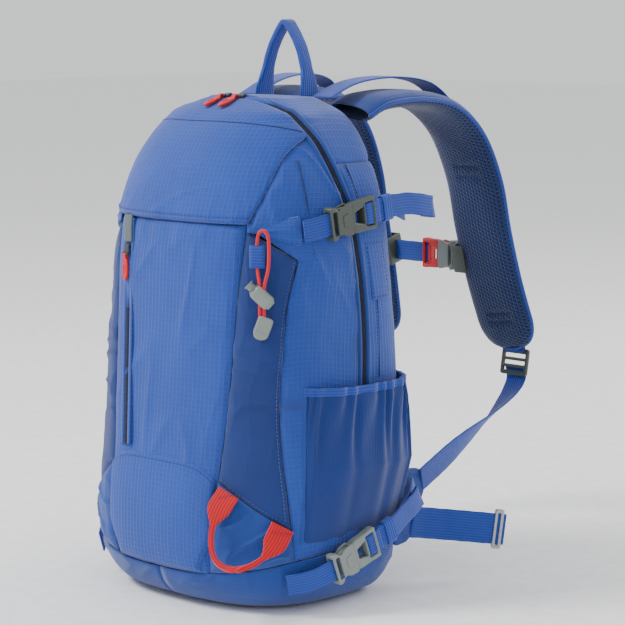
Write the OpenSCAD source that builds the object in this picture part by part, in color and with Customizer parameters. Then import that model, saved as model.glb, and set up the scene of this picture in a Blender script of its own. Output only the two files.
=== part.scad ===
// Hiking daypack: sewn fabric shell, padded shoulder straps, zips, side-release buckles and pole holders.
// Millimetres. +Z is up, -Y is the front of the pack, +Y faces the wearer. The origin is the centre of the base.

/* [Bag] */
// Height of the bag without its haul loop
body_h = 455; // [430:5:480]
// Greatest width of the bag
body_w = 272; // [256:2:286]
// Distance from the origin to the front at its fullest
front_depth = 121; // [115:1:127]
// Distance from the origin to the back
back_depth = 90; // [86:1:94]
// Thickness of a fabric panel with its lining
panel_t = 2.4; // [1.6:0.2:3]

/* [Main zip] */
// Radius of the arc that the zip follows over the top
zip_r = 186.3; // [186:0.1:187]
// Height of the centre of that arc
zip_centre_z = 275; // [274.6:0.1:275.4]
// Width of the zip's tape with its coil
zip_w = 9; // [7:0.5:11]
// Angle of each slider from the top of the arc
slider_angle = 2.8; // [2.6:0.2:4]

/* [Front pocket] */
// Height of the upper end of the pocket's zip
pocket_zip_top = 348; // [340:2:350]
// Height of its lower end
pocket_zip_low = 142; // [138:2:160]

/* [Webbing] */
// Width of the harness webbing
web_w = 25; // [22:1:25]
// Width of the compression and sternum straps
strap_w = 20; // [18:1:20]
// Thickness of the webbing
web_t = 1.6; // [1.2:0.2:1.6]

/* [Buckles] */
// Width of a side-release buckle
buckle_w = 30; // [30:1:33]
// Length of a closed buckle
buckle_l = 56; // [54:1:60]
// Thickness of a buckle
buckle_t = 10; // [9.6:0.2:11]

/* [Shoulder straps] */
// Width of a strap's pad
pad_w = 66; // [58:2:72]
// Thickness of a strap's pad
pad_t = 14; // [10:1:16]

/* [Hidden] */
$fn = 48;

// Colours
blue = [0.20, 0.34, 0.66];
dark_blue = [0.13, 0.20, 0.42];
web_blue = [0.18, 0.28, 0.64];
red = [0.80, 0.15, 0.17];
grey = [0.45, 0.47, 0.43];

// Outline of the bag as [height, size] pairs, each a share of the bag's own height, half width and depth
HALF_WIDTH = [[0, 0.74], [0.02, 0.87], [0.08, 0.965], [0.18, 1], [0.33, 0.985], [0.53, 0.95],
    [0.7, 0.9], [0.82, 0.825], [0.91, 0.7], [0.97, 0.54], [1, 0.33]];
FRONT = [[0, 0.64], [0.02, 0.82], [0.08, 0.965], [0.18, 1], [0.33, 0.945], [0.53, 0.89],
    [0.7, 0.85], [0.82, 0.775], [0.91, 0.62], [0.97, 0.4], [1, 0.1]];
BACK = [[0, 0.62], [0.02, 0.84], [0.08, 0.97], [0.18, 1], [0.33, 1], [0.53, 0.99],
    [0.7, 0.965], [0.82, 0.93], [0.91, 0.865], [0.97, 0.76], [1, 0.58]];
front_power = 2.6;
back_power = 4.5;
widest_share = 0.55;

// Seams as [height, angle round the bag], with 0 at the right side and -90 at the front
FRONT_SEAM = [[20, -69], [80, -67.5], [200, -61.5], [280, -58], [350, -52.5]];
STRIP_SEAM = [[40, -26], [100, -30], [150, -34.5], [195, -36], [240, -34], [280, -31], [320, -24]];
HOOD_SEAM = [[348, -52.5], [378, -42], [404, -32], [414, -25], [424, -12]];
back_seam = 52;
seam_gap = 0.5;
hood_z = 350;
yoke_z = 400;
front_low_z = 34;
back_low_z = 26;

function lerp(a, b, t) = a + (b - a) * t;
function sgn_pow(v, e) = sign(v) * pow(abs(v), e);
function unit(v) = v / norm(v);
function segment(t, x, k = 0) = k >= len(t) - 2 || x < t[k + 1][0] ? k : segment(t, x, k + 1);
function chord(t, a, b) = (t[b][1] - t[a][1]) / (t[b][0] - t[a][0]);
function tangent(t, k) = chord(t, max(k - 1, 0), min(k + 1, len(t) - 1));

// Smooth curve through a table of [x, y] pairs
function curve(t, x) =
    let (c = min(max(x, t[0][0]), t[len(t) - 1][0]), k = segment(t, c), h = t[k + 1][0] - t[k][0])
    let (s = (c - t[k][0]) / h, m0 = tangent(t, k) * h, m1 = tangent(t, k + 1) * h)
    (2 * s ^ 3 - 3 * s ^ 2 + 1) * t[k][1] + (s ^ 3 - 2 * s ^ 2 + s) * m0
    + (3 * s ^ 2 - 2 * s ^ 3) * t[k + 1][1] + (s ^ 3 - s ^ 2) * m1;

// Half width, front, back and widest line of the bag's section at a height
function section(z) =
    let (f = z / body_h, front = -front_depth * curve(FRONT, f), back = back_depth * curve(BACK, f))
    [body_w / 2 * curve(HALF_WIDTH, f), front, back, lerp(front, back, widest_share)];

// Point of the bag's outer surface at an angle and a height
function outline(a, z) =
    let (s = section(z), n = sin(a) < 0 ? front_power : back_power)
    let (depth = sin(a) < 0 ? s[3] - s[1] : s[2] - s[3])
    [s[0] * sgn_pow(cos(a), 2 / n), s[3] + depth * sgn_pow(sin(a), 2 / n), z];

function normal(a, z) =
    let (low = max(z - 2, 0), high = min(z + 2, body_h))
    unit(cross(outline(a + 3, z) - outline(a - 3, z), outline(a, high) - outline(a, low)));

function skin(az, off = 0) = outline(az[0], az[1]) + off * normal(az[0], az[1]);

// Depth of the main zip at a height, on a leaning plane over the top and on a curve below it, and the angle where
// the shell is that deep, or off further back
zip_lean = 0.25;
zip_margin = 3.2;
ZIP_LINE = [[198, 12.5], [240, 15.5], [280, 15.5], [320, 13], [350, 9.5], [380, 2]];
function zip_plane(z) = 47 - zip_lean * (z - 200);
function zip_y(z) = z > 380 ? zip_plane(z) : curve(ZIP_LINE, z);
function zip_angle(z, off = 0) =
    let (s = section(z), q = zip_y(z) + off - s[3], depth = q < 0 ? s[3] - s[1] : s[2] - s[3])
    asin(sgn_pow(max(min(q / depth, 1), -1), (q < 0 ? front_power : back_power) / 2));

function quad(a, b, c, d) = [[a, b, c], [a, c, d]];
function flat1(l) = [for (a = l) for (b = a) b];

// Curved panel: f(u, v) gives [angle, height]. The panel fills the offsets from t0 to t1, plus rise(u, v)
module patch(f, nu, nv, t0, t1, rise = function(u, v) 0) {
    row = nu + 1;
    half = row * (nv + 1);
    points = [for (t = [t1, t0]) for (j = [0:nv]) for (i = [0:nu])
        skin(f(i / nu, j / nv), t + rise(i / nu, j / nv))];
    outer = [for (j = [0:nv - 1]) for (i = [0:nu - 1])
        let (k = j * row + i) quad(k, k + row, k + row + 1, k + 1)];
    inner = [for (j = [0:nv - 1]) for (i = [0:nu - 1])
        let (k = half + j * row + i) quad(k, k + 1, k + row + 1, k + row)];
    low = [for (i = [0:nu - 1]) quad(i, i + 1, half + i + 1, half + i)];
    high = [for (i = [0:nu - 1]) let (k = nv * row + i) quad(k + 1, k, half + k, half + k + 1)];
    left = [for (j = [0:nv - 1]) let (k = j * row) quad(k + row, k, half + k, half + k + row)];
    right = [for (j = [0:nv - 1]) let (k = j * row + nu) quad(k, k + row, half + k + row, half + k)];
    polyhedron(points, flat1(concat(outer, inner, low, high, left, right)));
}

// Strip swept along a path: across is its width direction at each point, and w(s) and t(s) its width and thickness
module strip(path, across, w, t, corner = 0) {
    n = len(path) - 1;
    c = corner;
    shape = c == 0 ? [[-1, -1], [1, -1], [1, 1], [-1, 1]]
        : [[-1, -c], [-0.86, -1], [0.86, -1], [1, -c], [1, c], [0.86, 1], [-0.86, 1], [-1, c]];
    m = len(shape);
    points = [for (i = [0:n])
        let (along = unit(path[min(i + 1, n)] - path[max(i - 1, 0)]), a = across(i / n))
        let (side = unit(a - (a * along) * along), out = cross(along, side))
        for (p = shape) path[i] + p[0] * w(i / n) / 2 * side + p[1] * t(i / n) / 2 * out];
    walls = [for (i = [0:n - 1]) for (k = [0:m - 1])
        let (a = i * m + k, b = i * m + (k + 1) % m) quad(b, a, a + m, b + m)];
    caps = [[for (k = [0:m - 1]) k], [for (k = [m - 1:-1:0]) n * m + k]];
    polyhedron(points, concat(flat1(walls), caps));
}

// Smooth path through hand-chosen points, with k steps between each pair
function spline(p, k) = concat([for (i = [0:len(p) - 2]) for (j = [0:k - 1])
    let (s = j / k, m0 = (p[i + 1] - p[max(i - 1, 0)]) / 2, m1 = (p[min(i + 2, len(p) - 1)] - p[i]) / 2)
    (2 * s ^ 3 - 3 * s ^ 2 + 1) * p[i] + (s ^ 3 - 2 * s ^ 2 + s) * m0
    + (3 * s ^ 2 - 2 * s ^ 3) * p[i + 1] + (s ^ 3 - s ^ 2) * m1], [p[len(p) - 1]]);

module left_side() mirror([1, 0, 0]) children();

// Puts a flat fitting on the bag: x runs along the strap, y across it and z off the fabric
module place(at) translate(at[0]) rotate([0, 0, at[1]]) rotate([0, -at[2], 0]) rotate([90, 0, 0]) children();

// ---- Fabric shell ----

base_flat_t = 3;

module base_plate() {
    color(blue) linear_extrude(base_flat_t)
        polygon([for (a = [0:10:350]) [for (k = [0, 1]) skin([a, 0], -panel_t - 2)[k]]]);
}

// Upper edge of the wrap round the base, lower at the front and back, and the foot of the panels above it
function wrap_top(a) = lerp(lerp(front_low_z, back_low_z, (1 + sin(a)) / 2), 54, cos(a) ^ 2) - seam_gap;
function foot_z(a) = wrap_top(a) + 2 * seam_gap;

module base_wrap() {
    color(blue) for (start = [-90, 90])
        patch(function(u, v) let (a = start + 180 * u) [a, wrap_top(a) * v], 20, 5, -panel_t, 0);
}

module front_panel() {
    color(blue) patch(function(u, v)
        let (h = 90 + curve(FRONT_SEAM, lerp(front_low_z, hood_z, v)), a = -90 + h * lerp(-1, 1, u) * 0.99)
        [a, lerp(foot_z(a), hood_z - seam_gap, v)], 12, 14, -panel_t, 0);
}

patch_low_z = 40;
patch_high_z = 137;

// Reinforced patch with rounded corners over the foot of the front panel
module lower_patch() {
    color(blue) patch(function(u, v)
        let (side = 2 * u - 1, z = lerp(patch_low_z, patch_high_z - 14 * side ^ 4, v))
        [-90 + side * lerp(17, 23, min(v * 3, 1)), z], 12, 8, 0.3, 2.2);
}

module hood_panel() {
    color(blue) patch(function(u, v)
        let (z = lerp(hood_z, body_h - 3, v), edge = min(curve(HOOD_SEAM, z), zip_angle(z, -zip_margin)))
        [-90 + (90 + edge) * lerp(-1, 1, u), z], 12, 12, -panel_t, 1);
}

// Yoke over the top, between the zip and the back, where the haul loop and the straps are sewn
module top_yoke() {
    color(blue) patch(function(u, v)
        let (z = lerp(yoke_z, body_h - 0.5, v), edge = max(zip_angle(z, zip_margin), -82))
        [lerp(edge, 180 - edge, u), z], 28, 8, -panel_t, 0);
    color(blue) translate([0, 0, body_h - panel_t]) linear_extrude(panel_t)
        polygon([for (a = [0:10:350]) [for (k = [0, 1]) outline(a, body_h)[k]]]);
}

module back_panel() {
    color(dark_blue) patch(function(u, v)
        let (a = lerp(back_seam + 0.3, 180 - back_seam - 0.3, u)) [a, lerp(foot_z(a), yoke_z - seam_gap, v)],
        10, 12, -panel_t, 0);
}

// The dark panel on each front corner, from the slanted lower seam up to the strap wing
function corner_low(u) = lerp(122, 78, u);
function corner_high(u) = lerp(346, 318, u);
module corner_panel_right() {
    color(dark_blue) patch(function(u, v)
        let (z = lerp(corner_low(u), corner_high(u), v))
        [lerp(curve(FRONT_SEAM, z) + 0.4, curve(STRIP_SEAM, z) - 0.4, u), z], 6, 14, -panel_t, 0);
}
module corner_panel_left() left_side() corner_panel_right();

module lower_corner_right() {
    color(blue) patch(function(u, v)
        let (z = lerp(foot_z(lerp(-68.5, -26, u)), corner_low(u) - seam_gap, v))
        [lerp(curve(FRONT_SEAM, z) + 0.4, curve(STRIP_SEAM, z) - 0.4, u), z], 6, 4, -panel_t, 0);
}
module lower_corner_left() left_side() lower_corner_right();

// Front edge of the side panel: the strip seam, then out to the hood's edge above the corner panel
zip_low_z = 196;
function side_edge(z) = z < 325 ? curve(STRIP_SEAM, z) + 0.4
    : z < 347 ? lerp(-24, -51, (z - 318) / 29) + 0.6 : curve(HOOD_SEAM, z) + 0.5;
module side_panel_right() {
    color(blue) patch(function(u, v)
        let (z = v == 0 ? foot_z(lerp(-26, back_seam, u)) : lerp(54, 424, v))
        let (end = z < zip_low_z ? back_seam - 0.3 : zip_angle(z, -zip_margin))
        [lerp(side_edge(z), end, u), z], 8, 26, -panel_t, 0);
}
module side_panel_left() left_side() side_panel_right();

gusset_low_z = 184;
module gusset_right() {
    color(blue) patch(function(u, v)
        let (z = lerp(gusset_low_z, yoke_z - seam_gap, v), foot = lerp(back_seam - 2, 0, (z - gusset_low_z) / 15))
        [lerp(max(zip_angle(z, zip_margin), foot), back_seam - 0.3, u), z], 5, 14, -panel_t, 0);
}
module gusset_left() left_side() gusset_right();

// Stretch pocket that stands off the side panel, closed at its foot and at both edges
pocket_low_z = 66;
pocket_high_z = 204;
pocket_bulge = 17;
pocket_t = 1.4;
module bottle_pocket_right() {
    color(dark_blue) patch(function(u, v) [lerp(-24, 44, u), lerp(pocket_low_z, pocket_high_z, v)],
        14, 10, 0.4, 0.4 + pocket_t,
        function(u, v) pocket_bulge * sin(180 * u) ^ 0.8 * min(v * 2.2, 1.25 - 0.45 * v));
}
module bottle_pocket_left() left_side() bottle_pocket_right();

// ---- Inside the bag and on its back ----

module frame_sheet() {
    sheet = [170, 1.5, 320];
    color("white") translate([0, 76, 46]) rotate([90, 0, 0]) linear_extrude(sheet[1])
        hull() for (x = [-1, 1], y = [0, 1])
            translate([x * (sheet[0] / 2 - 20), lerp(20, sheet[2] - 20, y)]) circle(20);
}

// Pouch for a drinking bladder, open at its top
sleeve = [156, 15, 240];
sleeve_wall = 1.2;
module hydration_sleeve() {
    color(grey) translate([-sleeve[0] / 2, 73.5 - sleeve[1], 60]) difference() {
        cube(sleeve);
        translate([sleeve_wall, sleeve_wall, sleeve_wall])
            cube(sleeve - [2 * sleeve_wall, 2 * sleeve_wall, 0]);
    }
}

module back_pads() {
    color(dark_blue) {
        for (side = [0, 1]) mirror([side, 0, 0])
            patch(function(u, v) [lerp(57, 86.5, u), lerp(112, 378, v)], 6, 12, 0.4, 3,
                function(u, v) 0.1 * sin(180 * u));
        patch(function(u, v) [lerp(57, 123, u), lerp(42, 104, v)], 10, 5, 0.4, 3.4);
    }
}

// ---- Main zip over the top, with two sliders that meet there ----

zip_tilt = atan(zip_lean);
zip_t = 1.8;
zip_end = 24;
slider = [9, 8, 4];
slider_clear = 0.4;
pin_r = 1;
eye_clear = 0.08;
puller_droop = 6;

// Frame of the arch: x to the right, y up along the zip's plane and z forwards
module arch_frame() translate([0, zip_plane(zip_centre_z), zip_centre_z]) rotate([90 + zip_tilt, 0, 0]) children();

module main_zip() {
    color("black") arch_frame() rotate([0, 0, 90 - zip_end])
        rotate_extrude(angle = 2 * zip_end, $fn = 240) translate([zip_r, 0]) square([zip_t, zip_w], center = true);
    color("black") for (side = [0, 1]) mirror([side, 0, 0])
        strip([for (z = [436:-14:198]) skin([zip_angle(z), z], 1.5)],
            function(s) [0, 1, 0], function(s) zip_w, function(s) zip_t);
}

// Fitting on the arch: x runs along the zip, y up off it and z forwards
module on_arch(angle) arch_frame() rotate([0, 0, -angle]) translate([0, zip_r + zip_t / 2, 0]) children();

pivot_y = slider_clear + slider[2] - 0.6;
pivot_z = slider[1] / 2 + 2.2;

module zip_slider() {
    translate([-slider[0] / 2, slider_clear, -slider[1] / 2]) cube([slider[0], slider[2], slider[1]]);
    for (x = [-1, 1])
        translate([x * (slider[0] / 2 - 0.8) - 0.8, pivot_y - 1.4, slider[1] / 2 - 0.2]) cube([1.6, 2.8, 3.8]);
    translate([-slider[0] / 2 + 0.2, pivot_y, pivot_z]) rotate([0, 90, 0])
        cylinder(r = pin_r, h = slider[0] - 0.4);
}

// Moulded grip that hangs from the slider's pin by its eye, running along +z from the pin
puller_l = 21;
module zip_puller() {
    eye_w = slider[0] - 4.2;
    rotate([0, 90, 0]) difference() {
        union() {
            cylinder(r = 2, h = eye_w, center = true);
            translate([-3, -1.1, -eye_w / 2]) cube([3, 2.2, eye_w]);
        }
        cylinder(r = pin_r + eye_clear, h = eye_w + 1, center = true);
    }
    translate([0, 1.2, 2.9]) rotate([90, 0, 0]) linear_extrude(2.4)
        polygon([[-2.4, 0], [2.4, 0], [4, 4], [4.2, 14], [0, puller_l - 3], [-4.2, 14], [-4, 4]]);
}

module arch_puller(angle) on_arch(angle) translate([0, pivot_y, pivot_z]) rotate([puller_droop, 0, 0])
    zip_puller();

module main_slider_right() color(grey) on_arch(slider_angle) zip_slider();
module main_slider_left() color(grey) on_arch(-slider_angle) zip_slider();
module main_puller_right() color(red) arch_puller(slider_angle);
module main_puller_left() color(red) arch_puller(-slider_angle);

// ---- Zip of the front pocket, straight and off centre ----

pocket_zip_off = 1.6;
slider_start = 28;
zip_top_point = outline(-112.5, pocket_zip_top) + [0, -pocket_zip_off, 0];
zip_low_point = outline(-103.8, pocket_zip_low) + [0, -pocket_zip_off, 0];
zip_run = unit(zip_low_point - zip_top_point);
zip_length = norm(zip_low_point - zip_top_point);
zip_side = unit(cross(normal(-108, 245), zip_run));
zip_out = cross(zip_run, zip_side);

function matrix(x, y, z, at) = [[x[0], y[0], z[0], at[0]], [x[1], y[1], z[1], at[1]], [x[2], y[2], z[2], at[2]],
    [0, 0, 0, 1]];

// Frame of the pocket's zip: x across it, y off the panel and z down along it, from its upper end
module pocket_frame(along = 0)
    multmatrix(matrix(zip_side, zip_out, zip_run, zip_top_point + along * zip_run)) children();

module pocket_zip() color("black") pocket_frame()
    translate([-zip_w / 2, -zip_t / 2, 0]) cube([zip_w, zip_t, zip_length]);

module pocket_zip_garage() color(grey) pocket_frame()
    translate([-7, zip_t / 2 + 0.2, -2]) cube([14, 2.2, slider_start - 4]);

module pocket_slider() color(grey) pocket_frame(slider_start) translate([0, zip_t / 2, 0]) zip_slider();

module pocket_puller() color(red) pocket_frame(slider_start)
    translate([0, zip_t / 2 + pivot_y, pivot_z]) zip_puller();

// ---- Straps ----

HAUL_PATH = [[-29, 52, 448], [-27, 53, 470], [-18, 53, 499], [-5, 53, 520], [1, 53, 525], [7, 53, 520],
    [20, 53, 499], [28, 53, 470], [30, 52, 448]];
haul_fold_w = 13;
module haul_loop() {
    color(web_blue) strip(spline(HAUL_PATH, 3), function(s) [0, 1, 0],
        function(s) lerp(haul_fold_w, web_w, abs(2 * s - 1) ^ 3), function(s) lerp(4.4, 2.2, abs(2 * s - 1) ^ 2));
}

PAD_PATH = [[58, 78, 442], [62, 98, 451], [66, 140, 453], [70, 181, 444], [74, 215, 416], [77, 238, 371],
    [79, 250, 321], [82, 264, 271], [87, 277, 228], [91, 285, 204]];
module shoulder_pad_right() {
    color(dark_blue) strip(spline(PAD_PATH, 3), function(s) [1, 0, 0],
        function(s) pad_w * (1 - 0.45 * max(0, (s - 0.88) / 0.12) ^ 2) * lerp(0.86, 1, min(s * 5, 1)),
        function(s) pad_t * (1 - 0.5 * max(0, (s - 0.9) / 0.1) ^ 2), 0.3);
}
module shoulder_pad_left() left_side() shoulder_pad_right();

LIFTER_PATH = [[47, 50, 456], [50, 86, 469], [58, 130, 473], [66, 172, 466], [71, 204, 442]];
module load_lifters() color(web_blue) for (side = [0, 1]) mirror([side, 0, 0])
    strip(spline(LIFTER_PATH, 4), function(s) [1, 0, 0], function(s) web_w, function(s) web_t);

// Ladder lock that tilts on a bar held by a tab at the foot of the pad
lock_at = [91, 290, 196];
lock_lean = 10;
lock = [33, 4, 26];
bar_r = 1.8;
module lock_frame() translate(lock_at) rotate([-lock_lean, 0, 0]) children();

module ladder_lock_right() {
    color(grey) lock_frame() {
        rotate([0, 90, 0]) cylinder(r = bar_r, h = lock[0] - 2, center = true);
        for (x = [-1, 1])
            translate([x * (lock[0] / 2 - 1.5) - 1.5, -lock[1] / 2, 2 - lock[2]]) cube([3, lock[1], lock[2]]);
        for (z = [-9, -16, 3 - lock[2]]) translate([-lock[0] / 2 + 1, -1.6, z - 1]) cube([lock[0] - 2, 3.2, 3]);
    }
}
module ladder_lock_left() left_side() ladder_lock_right();

TAB_PATH = [[91, 290.2, 198.8], [90.6, 290.2, 206], [89.2, 289.2, 216], [87.2, 286.4, 230]];
STRAP_PATH = [[92, 289, 168], [96, 271, 154], [104, 232, 138], [110, 180, 120], [115, 140, 106], [118, 112, 96]];
module strap_webbing_right() {
    color(web_blue) {
        translate(lock_at) rotate([0, 90, 0]) difference() {
            cylinder(r = bar_r + 1.4, h = web_w, center = true);
            cylinder(r = bar_r + eye_clear, h = web_w + 1, center = true);
        }
        strip(spline(TAB_PATH, 3), function(s) [1, 0, 0], function(s) web_w - 3, function(s) web_t);
        strip(spline(STRAP_PATH, 4), function(s) lerp([1, 0, 0], [0.15, -0.35, 0.9], min(1, s * 1.3)),
            function(s) web_w, function(s) web_t);
    }
}
module strap_webbing_left() left_side() strap_webbing_right();

// Stiffened wing at each lower back corner, which the strap and the waist belt pull on
WING = [[68, 112], [112, 108], [122, 92], [96, 40], [72, 38]];
wing_x = 114;
module anchor_wings() color(blue) for (side = [0, 1]) mirror([side, 0, 0])
    translate([wing_x, 0, 0]) rotate([90, 0, 90]) linear_extrude(3) polygon(WING);

// ---- Side-release buckles ----

wall = 2;
fit_gap = 0.4;
tunnel = [strap_w + 1, web_t + 1];
release = 22;
socket_share = 0.46;

// Socket with its closed end at -x. The prongs go in from +x, and show through a window at each side
module buckle_socket(l = buckle_l) {
    color(grey) translate([-l / 2, -buckle_w / 2, -buckle_t / 2]) difference() {
        cube([l * socket_share, buckle_w, buckle_t]);
        translate([6, wall, wall]) cube([l, buckle_w - 2 * wall, buckle_t - 2 * wall]);
        for (y = [-1, buckle_w - wall - 1])
            translate([8.5, y, wall]) cube([l * socket_share - 15, wall + 2, buckle_t - 2 * wall]);
        translate([-1, (buckle_w - tunnel[0]) / 2, (buckle_t - tunnel[1]) / 2]) cube([8, tunnel[0], tunnel[1]]);
    }
}

// Plug with two prongs and a guide, and a tunnel that the webbing slides through
module buckle_plug(l = buckle_l) {
    x0 = l * (socket_share - 0.5) + fit_gap;
    prong_l = l * socket_share - 7;
    h = buckle_t - 2 * wall - 2 * fit_gap;
    inner_w = buckle_w - 2 * wall - 2 * fit_gap;
    color(grey) {
        difference() {
            translate([x0, -buckle_w / 2, -buckle_t / 2]) cube([l / 2 - x0, buckle_w, buckle_t]);
            translate([x0 + 5, -tunnel[0] / 2, -tunnel[1] / 2]) cube([l, tunnel[0], tunnel[1]]);
            translate([x0 + 9, -tunnel[0] / 2, 0]) cube([l / 2 - x0 - 16, tunnel[0], buckle_t]);
        }
        for (y = [-1, 1]) translate([x0 - prong_l, y * (inner_w / 2 - 2.2) - 2.2, -h / 2])
            cube([prong_l + 0.1, 4.4, h]);
        translate([x0 - prong_l * 0.8, -2, -h / 2]) cube([prong_l * 0.8 + 0.1, 4, h]);
    }
}

// Straight stretch of webbing through a buckle, from x = a to x = b in its frame
module straight_web(a, b) translate([a, -strap_w / 2, -web_t / 2]) cube([b - a, strap_w, web_t]);

// The webbing ends inside the plug, where the plug's cross wall only just reaches it when pulled out
sternum_release = 15;
function web_start(l, travel) = l * (socket_share - 0.5) + fit_gap + 5 + travel + 0.4;
plug_web_end = buckle_l / 2 + release + 7;
sternum_l = 40;

// Place of each buckle: centre, direction round the bag and slope
UPPER = [[128, 2, 353], 86, 9];
LOWER = [[147, -14, 51], 86, 20];
STERNUM = [[17, 258.4, 291], 180, 0];

module upper_socket_right() place(UPPER) buckle_socket();
module upper_socket_left() left_side() upper_socket_right();
module upper_plug_right() place(UPPER) buckle_plug();
module upper_plug_left() left_side() upper_plug_right();
module lower_socket_right() place(LOWER) buckle_socket();
module lower_socket_left() left_side() lower_socket_right();
module lower_plug_right() place(LOWER) buckle_plug();
module lower_plug_left() left_side() lower_plug_right();

// Where a point along a buckle's strap lies on the bag
function along(at, x) = at[0] + x * [cos(at[1]) * cos(at[2]), sin(at[1]) * cos(at[2]), sin(at[2])];
function upright(at) = [-cos(at[1]) * sin(at[2]), -sin(at[1]) * sin(at[2]), cos(at[2])];

// Webbing of one compression strap: sewn to the front seam, then from the plug to the back seam
module compression_webbing(at, front, back) {
    place(at) straight_web(-buckle_l / 2 - 4, -buckle_l / 2 + 5.6);
    place(at) straight_web(web_start(buckle_l, release), plug_web_end);
    strip(spline(concat(front, [along(at, -buckle_l / 2 - 4.2)]), 4), function(s) upright(at),
        function(s) strap_w, function(s) web_t);
    strip(spline(concat([along(at, plug_web_end + 0.2)], back), 4), function(s) upright(at),
        function(s) strap_w, function(s) web_t);
}

module upper_webbing() color(web_blue) for (side = [0, 1]) mirror([side, 0, 0])
    compression_webbing(UPPER, [[104, -68, 340], [119, -46, 344]], [[124, 76, 356], [119, 104, 352]]);

module lower_webbing() color(web_blue) for (side = [0, 1]) mirror([side, 0, 0])
    compression_webbing(LOWER, [[126, -74, 30], [139, -58, 34]], [[142, 70, 80], [126, 98, 90]]);

// ---- Sternum strap, which slides up and down the shoulder pads ----

pad_slope = atan(14 / 50);
slide_x = 41;
slide = [15, 8, 28];
slide_gap = 1.2;
module sternum_slides() color(grey) for (side = [0, 1]) mirror([side, 0, 0])
    translate([slide_x, STERNUM[0][1], STERNUM[0][2]]) rotate([pad_slope, 0, 0]) difference() {
        translate([0, -(pad_t + slide[1]) / 2, -slide[2] / 2]) cube([slide[0], pad_t + slide[1], slide[2]]);
        translate([4, -pad_t / 2 - slide_gap, -slide[2]]) cube([slide[0], pad_t + 2 * slide_gap, 2 * slide[2]]);
    }

module sternum_webbing() color(web_blue) place(STERNUM) {
    straight_web(web_start(sternum_l, sternum_release), STERNUM[0][0] + slide_x - 0.2);
    straight_web(STERNUM[0][0] - slide_x + 0.2, 5.6 - sternum_l / 2);
}
module sternum_socket() color(red) place(STERNUM) buckle_socket(sternum_l);
module sternum_plug() color(red) place(STERNUM) buckle_plug(sternum_l);

// ---- Waist belt ----

// The outer end of the belt is straight, so that its glide slides along it
BELT_PATH = [[119, 98, 58], [122, 114, 55], [129, 130, 52]];
belt_from = [131.5, 133.5, 51.6];
belt_to = [168, 177, 45];
belt_run = unit(belt_to - belt_from);
belt_side = unit([-belt_run[0] * belt_run[2], -belt_run[1] * belt_run[2], 1 - belt_run[2] ^ 2]);
belt_w = web_w + 5;
glide = [9, 5, 38];
glide_from_end = 7;
module waist_belts() color(web_blue) for (side = [0, 1]) mirror([side, 0, 0])
    strip(concat(spline(BELT_PATH, 3), [belt_from, belt_to]), function(s) belt_side,
        function(s) belt_w, function(s) web_t);

module waist_glide_right() color(grey)
    multmatrix(matrix(belt_run, cross(belt_side, belt_run), belt_side, belt_to - glide_from_end * belt_run))
        difference() {
            cube(glide, center = true);
            cube([glide[0] + 3, web_t + 0.8, belt_w + 1], center = true);
        }
module waist_glide_left() left_side() waist_glide_right();

// ---- Pole holders ----

AXE_PATH = [[83, -109, 114], [78, -118, 98], [76, -124, 78], [82, -128, 60], [93, -126, 51], [106, -117, 50],
    [117, -103, 58], [121, -91, 70], [121, -80, 84]];
axe_end_w = 22;
axe_mid_w = 7;
module axe_loop() color(red) strip(spline(AXE_PATH, 4),
    function(s) lerp([0.75, 0.45, 0.25], [0.55, 0.8, -0.2], s),
    function(s) lerp(axe_mid_w, axe_end_w, abs(2 * s - 1) ^ 4), function(s) lerp(5, 2, abs(2 * s - 1) ^ 4));

// Frame of the pole holder: x along the panel, y off it and z up, on the corner panel
holder_at = [-47, 300];
holder_out = unit([normal(holder_at[0], holder_at[1])[0], normal(holder_at[0], holder_at[1])[1], 0]);
module holder_frame()
    multmatrix(matrix(cross(holder_out, [0, 0, 1]), holder_out, [0, 0, 1], skin(holder_at))) children();

tab = [13, 5, 20];
tab_low_z = 13;
tab_hole_r = 2;
module pole_tab() color(web_blue) holder_frame() translate([0, 3.4, tab_low_z + tab[2] / 2]) difference() {
    cube(tab, center = true);
    cylinder(r = tab_hole_r, h = tab[2] + 1, center = true);
}

// Both strands of the elastic run straight down through the cord lock, 4 mm apart and 10 mm off the panel
cord_r = 1.5;
strand_out = 10;
CORD_PATH = [[-3, strand_out, -32], [-3, strand_out, -4], [-1, 5.4, 8], [0, 3.4, 16], [0, 3.4, 34], [-2, 4, 44],
    [-7, 5.4, 46], [-10.5, 6, 38], [-10.5, 8, 14], [-7, strand_out, -4], [-7, strand_out, -32]];
module pole_bungee() color(red) holder_frame() strip(spline(CORD_PATH, 4), function(s) [0.1, 1, 0.1],
    function(s) 2 * cord_r, function(s) 2 * cord_r, 0.4);

// Cord lock: a barrel with a slot for the two strands, and a sprung button in its end
lock_centre = [-5, strand_out, -12];
lock_turn = -133;
lock_r = 6.4;
lock_l = [-11, 11];
lock_slot = [9, 5.6, 60];
button_r = 4;
button_travel = 2.2;
module lock_axis() holder_frame() translate(lock_centre) rotate([0, lock_turn, 0]) children();
module cord_lock() color(grey) difference() {
    lock_axis() difference() {
        translate([0, 0, lock_l[0]]) cylinder(r = lock_r, h = lock_l[1] - lock_l[0]);
        translate([0, 0, lock_l[0] - 1]) cylinder(r = button_r + fit_gap, h = 5);
    }
    holder_frame() translate(lock_centre) cube(lock_slot, center = true);
}
module cord_lock_button() color(grey) lock_axis() translate([0, 0, lock_l[0] - 5.5])
    cylinder(r = button_r, h = 5.5);

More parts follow.
